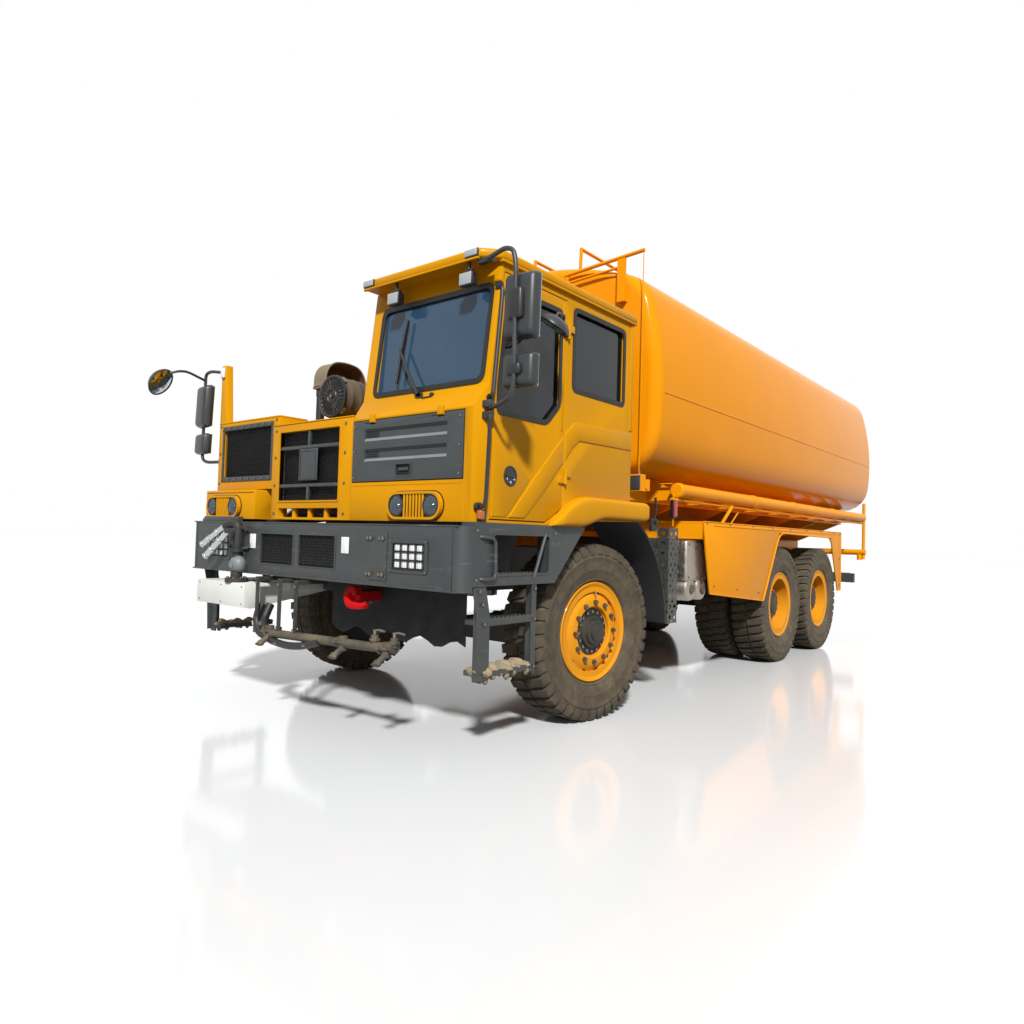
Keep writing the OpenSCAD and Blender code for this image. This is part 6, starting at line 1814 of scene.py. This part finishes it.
class TANKER_OT_air_intake(bpy.types.Operator):
    """Add the ribbed air filter drum, its clips and the hooded intake"""

    bl_idname = "tanker.air_intake"
    bl_label = "Air intake"

    def execute(self, context):
        bm = bmesh.new()
        front = facing(at(-0.535, -1.0, 2.51), (0, 1, 0))
        # Drum with pressed rings, a domed front cover and its rolled rim
        with coat(bm, 2):
            spun(bm, [(0.0, -0.004), (0.05, -0.006), (0.056, -0.012), (0.062, -0.006), (0.105, -0.004), (0.112, 0.002),
                      (0.15, 0.004), (0.158, -0.004), (0.17, -0.01), (0.182, -0.006), (0.184, 0.006), (0.176, 0.016),
                      (0.165, 0.018)], front, 56)
            cover = at(-0.535, -1.006, 2.51)
            for c, s in around(24):
                fin = Vector((c, 0, s))
                rod(bm, cover + fin * 0.065, cover + fin * 0.15, 0.004, sides=6)
        spun(bm, [(0.0, 0.016), (0.17, 0.018), (0.17, 0.07), (0.174, 0.076), (0.174, 0.09), (0.17, 0.096), (0.17, 0.16),
                  (0.174, 0.166), (0.174, 0.18), (0.17, 0.186), (0.17, 0.246), (0.16, 0.258), (0.0, 0.26)], front, 56)
        with coat(bm, 1):
            for c, s in around(4, 0.5):
                out = Vector((c, 0, s))
                place = facing(at(-0.535, -0.985, 2.51) + out * 0.186, out)
                bmesh.ops.transform(bm, matrix=place, verts=cuboid(bm, (0.03, 0.06, 0.01)))
            hexagon(bm, cover, (0, -1, 0), 0.034, 0.016)
        for y in (-0.96, -0.81):
            slab(bm, at(-0.595, y, 2.15), at(-0.445, y + 0.04, 2.38), 0.006)
        slab(bm, at(-0.64, -0.985, 2.15), at(-0.4, -0.75, 2.166), 0.004)
        finished("air_filter_drum", bm, "dusty bolt trim", replaces=("air_cleaner",))

        bm = bmesh.new()
        arch = [(-0.901, 2.654), (-0.901, 2.772), (-0.829, 2.868), (-0.684, 2.889), (-0.531, 2.868), (-0.459, 2.768),
                (-0.459, 2.654)]
        smooth = rounded([at(-0.945, y, z) for y, z in arch], 0.09, steps=6)
        middle = sum(smooth, Vector()) / len(smooth)
        to_mouth = Vector((0.175, 0, 0))
        strip = [bm.verts.new(p) for p in smooth]
        edges = [bm.edges.new(pair) for pair in zip(strip, strip[1:])]
        moved(bm, bmesh.ops.extrude_edge_only(bm, edges=edges), to_mouth)
        bm.faces.new(strip)
        # The sheet is open at its mouth, so its normals are set by hand: outwards, with a lining turned inwards
        for face in bm.faces:
            outwards = face.calc_center_median() - middle
            if face.normal.dot(Vector((0, outwards.y, outwards.z))) < 0 and abs(face.normal.x) < 0.5:
                face.normal_flip()
            if abs(face.normal.x) > 0.5 and face.normal.x > 0:
                face.normal_flip()
        sheet = 0.008
        for item in bmesh.ops.duplicate(bm, geom=bm.faces[:])["geom"]:
            if isinstance(item, bmesh.types.BMVert):
                item.co -= (item.co - Vector((item.co.x, middle.y, 2.72))).normalized() * sheet
                if item.co.x < -0.93:
                    item.co.x += sheet
            elif isinstance(item, bmesh.types.BMFace):
                item.normal_flip()
                item.material_index = 1
        # Rolled mouth, flange with bolts, stand pipe and its clamps
        pipe(bm, [p + to_mouth for p in smooth], 0.007, 0.01)
        slab(bm, at(-0.95, -0.906, 2.632), at(-0.585, -0.79, 2.658), 0.004)
        slab(bm, at(-0.95, -0.906, 2.644), at(-0.775, -0.455, 2.656), 0.003)
        with coat(bm, 3):
            pipe(bm, [at(-0.905, -0.85, 1.7), at(-0.905, -0.85, 2.64)], 0.037, 0.02, 5)
        with coat(bm, 2):
            for y, x in ((-0.895, -0.93), (-0.895, -0.86), (-0.895, -0.795), (-0.8, -0.62), (-0.89, -0.62)):
                hexagon(bm, at(x, y, 2.657), (0, 0, 1), 0.024, 0.01)
        with coat(bm, 3):
            for z in (1.74, 2.2, 2.6):
                spun(bm, [(0.036, -0.03), (0.042, -0.028), (0.042, 0.028), (0.036, 0.03)],
                     Matrix.Translation(at(-0.905, -0.85, z)), 28)
        finished("intake_hood", bm, "hood_dust duct_inside bolt trim", recalculate=False)
        return {"FINISHED"}


# ------------------------------------------------------------------ seat


def applied(piece):
    """Applies a piece's modifiers to its mesh."""
    graph = bpy.context.evaluated_depsgraph_get()
    made = bpy.data.meshes.new_from_object(piece.evaluated_get(graph))
    old = piece.data
    piece.modifiers.clear()
    piece.data = made
    bpy.data.meshes.remove(old)


def cushion(name, low, high, turn, cap):
    """A padded block swelled by a cloth simulation, its points kept within a cap of where they began."""
    bm = bmesh.new()
    slab(bm, low, high, 0.035, turn)
    pad = linked(name, into_mesh(name, bm))
    remesh = pad.modifiers.new("remesh", "REMESH")
    remesh.mode = "VOXEL"
    remesh.voxel_size = 0.014
    applied(pad)
    began = [vert.co.copy() for vert in pad.data.vertices]
    cloth = pad.modifiers.new("cloth", "CLOTH")
    cloth.settings.use_pressure = True
    cloth.settings.uniform_pressure_force = 4.0
    cloth.settings.effector_weights.gravity = 0
    for step in range(1, 21):
        bpy.context.scene.frame_set(step)
    applied(pad)
    bpy.context.scene.frame_set(1)
    for vert, start in zip(pad.data.vertices, began):
        move = vert.co - start
        if move.length > cap:
            vert.co = start + move.normalized() * cap
    smooth = pad.modifiers.new("subdivision", "SUBSURF")
    smooth.levels = smooth.render_levels = 1
    applied(pad)
    pad.data.shade_smooth()
    return pad


class TANKER_OT_seat(bpy.types.Operator):
    """Add the driver's seat: cushion, back and base"""

    bl_idname = "tanker.seat"
    bl_label = "Seat"

    def execute(self, context):
        lean = Matrix.Rotation(math.radians(-8), 4, "X")
        seat = cushion("seat_cushion", at(0.772, -0.455, 1.905), at(1.248, 0.01, 1.998), None, 0.014)
        back = cushion("seat_back", at(0.785, 0.08, 2.075), at(1.235, 0.165, 2.655), lean, 0.014)
        for pad in (seat, back):
            pad.data.materials.clear()
            pad.data.materials.append(finish("cloth"))
            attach(pad, CHASSIS)
        bm = bmesh.new()
        slab(bm, at(0.85, -0.33, 1.705), at(1.17, 0.0, 1.86), 0.02)
        slab(bm, at(0.76, -0.47, 1.865), at(1.26, 0.035, 1.905), 0.015)
        for i in range(5):
            slab(bm, at(0.84, -0.34, 1.715 + 0.03 * i), at(1.18, 0.01, 1.73 + 0.03 * i), 0.007)
        plate(bm, side_points(0.8, [(0.02, 1.91), (0.13, 1.91), (0.23, 2.68), (0.19, 2.68)]), (0.42, 0, 0), 0.01)
        slab(bm, at(0.755, -0.3, 2.06), at(0.785, 0.05, 2.1), 0.012)
        slab(bm, at(0.762, 0.0, 1.9), at(0.78, 0.05, 2.08), 0.006)
        finished("seat_base", bm, "trim", replaces=("driver_seat",))
        return {"FINISHED"}


# ------------------------------------------------------------------ rear


class TANKER_OT_rear_gear(bpy.types.Operator):
    """Add the tail lamps, the rear head's fittings, the frame details underneath and a black sheet of painted shade
    under the nose
    """

    bl_idname = "tanker.rear_gear"
    bl_label = "Rear and frame gear"

    def execute(self, context):
        bm = bmesh.new()
        low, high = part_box("rear_bumper")
        rear_y = high[1]
        middle_z = (low[2] + high[2]) / 2
        for side in (1, -1):
            a, b = sorted((side * 0.86, side * 1.22))
            slab(bm, (a, rear_y - 0.004, middle_z - 0.065), (b, rear_y + 0.012, middle_z + 0.065), 0.01)
            width = (b - a - 0.02) / 3
            for i in range(3):
                left = a + 0.01 + i * width
                with coat(bm, i + 1):
                    slab(bm, (left + 0.006, rear_y + 0.008, middle_z - 0.054),
                         (left + width - 0.006, rear_y + 0.02, middle_z + 0.054), 0.008)
            with coat(bm, 4):
                for x in (a - 0.06, b + 0.03):
                    for z in (middle_z - 0.05, middle_z + 0.05):
                        hexagon(bm, (x, rear_y, z), (0, 1, 0), 0.026, 0.01)
        slab(bm, (-0.22, rear_y - 0.002, middle_z - 0.055), (0.22, rear_y + 0.004, middle_z + 0.055), 0.004)
        finished("tail_lamps", bm, "trim red_lens amber reflector bolt")

        bm = bmesh.new()
        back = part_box("tank")[1][1]
        # Manway cover and sight tube on the rear head
        spun(bm, [(0.0, 0.03), (0.19, 0.03), (0.2, 0.024), (0.262, 0.024), (0.266, 0.018), (0.266, 0.0)],
             facing((0.72, back, 2.62), (0, 1, 0)), 48)
        for c, s in around(16):
            hexagon(bm, (0.72 + 0.235 * c, back + 0.024, 2.62 + 0.235 * s), (0, 1, 0), 0.026, 0.014)
        pipe(bm, [(-0.75, back - 0.01, 2.2), (-0.75, back + 0.05, 2.2), (-0.75, back + 0.05, 3.6),
                  (-0.75, back - 0.01, 3.6)], 0.014, 0.04)
        for z in (2.5, 2.9, 3.3):
            slab(bm, (-0.775, back - 0.002, z - 0.01), (-0.725, back + 0.05, z + 0.01), 0.003)
        finished("rear_head_fittings", bm, "tank")

        bm = bmesh.new()
        for side in (1, -1):
            # Brake chambers by each rear hub, then the air lines along the frame
            for y in (3.944, 5.44):
                place = facing(at(side * 0.66, y - 0.2, 0.78), (0, -1, 0))
                spun(bm, [(0.0, 0.0), (0.07, 0.002), (0.082, 0.02), (0.09, 0.05), (0.09, 0.062), (0.082, 0.07),
                          (0.074, 0.12), (0.0, 0.126)], place, 28)
                slab(bm, at(side * 0.66 - 0.03, y - 0.21, 0.7), at(side * 0.66 + 0.03, y - 0.08, 0.72), 0.004)
            pipe(bm, [at(side * 0.355, 0.9, 1.05), at(side * 0.355, 3.3, 1.05), at(side * 0.355, 6.4, 1.02)], 0.01)
            pipe(bm, [at(side * 0.35, 0.9, 1.1), at(side * 0.35, 3.3, 1.09), at(side * 0.35, 6.4, 1.07)], 0.008)
            # U-bolts round the rear and the front springs
            for y, foot, top, r in ((4.6, 0.8, 1.03, 0.012), (4.78, 0.8, 1.03, 0.012), (-0.05, 0.6, 0.735, 0.011),
                                    (0.05, 0.6, 0.735, 0.011)):
                pipe(bm, [at(side * x, y, z) for x, z in ((0.508, foot), (0.508, top), (0.613, top), (0.613, foot))], r,
                     0.03)
            # Bolted fishplates on the frame rails
            for y in (1.3, 2.45, 3.05, 6.55, 7.3):
                slab(bm, at(side * 0.47, y, 1.0), at(side * 0.478, y + 0.24, 1.24), 0.003)
                for dy in (0.04, 0.2):
                    for z in (1.04, 1.2):
                        hexagon(bm, at(side * 0.478, y + dy, z), (side, 0, 0), 0.03, 0.014)
        finished("frame_fittings", bm, "black")

        # A black rubber sheet across under the nose, its lower edge cut in scallops, hung on a bolted strip: painted
        # shade that darkens the space between the bumper and the tyres
        bm = bmesh.new()
        edge = [(1.3 - 0.07 * i, 0.64 + 0.03 * math.sin(i * 1.3)) for i in range(21)]
        plate(bm, front_points(-1.25, [(-0.1, 1.02), (1.3, 1.02)] + edge), (0, 0.008, 0))
        slab(bm, at(-0.1, -1.262, 0.985), at(1.3, -1.25, 1.02), 0.003)
        finished("dark_under_nose_sheet_painted_shade", bm, "liner")
        return {"FINISHED"}


# ------------------------------------------------------------------ add-on


class TANKER_PT_panel(bpy.types.Panel):
    """The tanker's settings and pieces"""

    bl_idname = "TANKER_PT_panel"
    bl_label = "Water tanker truck"
    bl_space_type = "VIEW_3D"
    bl_region_type = "UI"
    bl_category = "Tanker"

    def draw(self, context):
        layout = self.layout
        for settings in (context.scene.tanker_colours, context.scene.tanker_sizes):
            for name in settings.__annotations__:
                layout.prop(settings, name)
        for operator in OPERATORS:
            layout.operator(operator.bl_idname)


OPERATORS = (
    TANKER_OT_paint_frame, TANKER_OT_tyres, TANKER_OT_wheel_hubs, TANKER_OT_tank, TANKER_OT_tank_trim,
    TANKER_OT_mudguards, TANKER_OT_cab_panels, TANKER_OT_cab_fittings, TANKER_OT_mirrors, TANKER_OT_nose,
    TANKER_OT_grilles, TANKER_OT_bumper, TANKER_OT_water_gear, TANKER_OT_steps, TANKER_OT_side_gear,
    TANKER_OT_air_intake, TANKER_OT_seat, TANKER_OT_rear_gear, TANKER_OT_stage,
)
CLASSES = (TankerColours, TankerSizes, TANKER_PT_panel, *OPERATORS)


def register():
    for item in CLASSES:
        bpy.utils.register_class(item)
    bpy.types.Scene.tanker_colours = bpy.props.PointerProperty(type=TankerColours)
    bpy.types.Scene.tanker_sizes = bpy.props.PointerProperty(type=TankerSizes)


def unregister():
    del bpy.types.Scene.tanker_sizes
    del bpy.types.Scene.tanker_colours
    for item in reversed(CLASSES):
        bpy.utils.unregister_class(item)


def main():
    """Registers the add-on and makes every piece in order."""
    register()
    for operator in OPERATORS:
        group, name = operator.bl_idname.split(".")
        getattr(getattr(bpy.ops, group), name)()


if __name__ == "__main__":
    main()
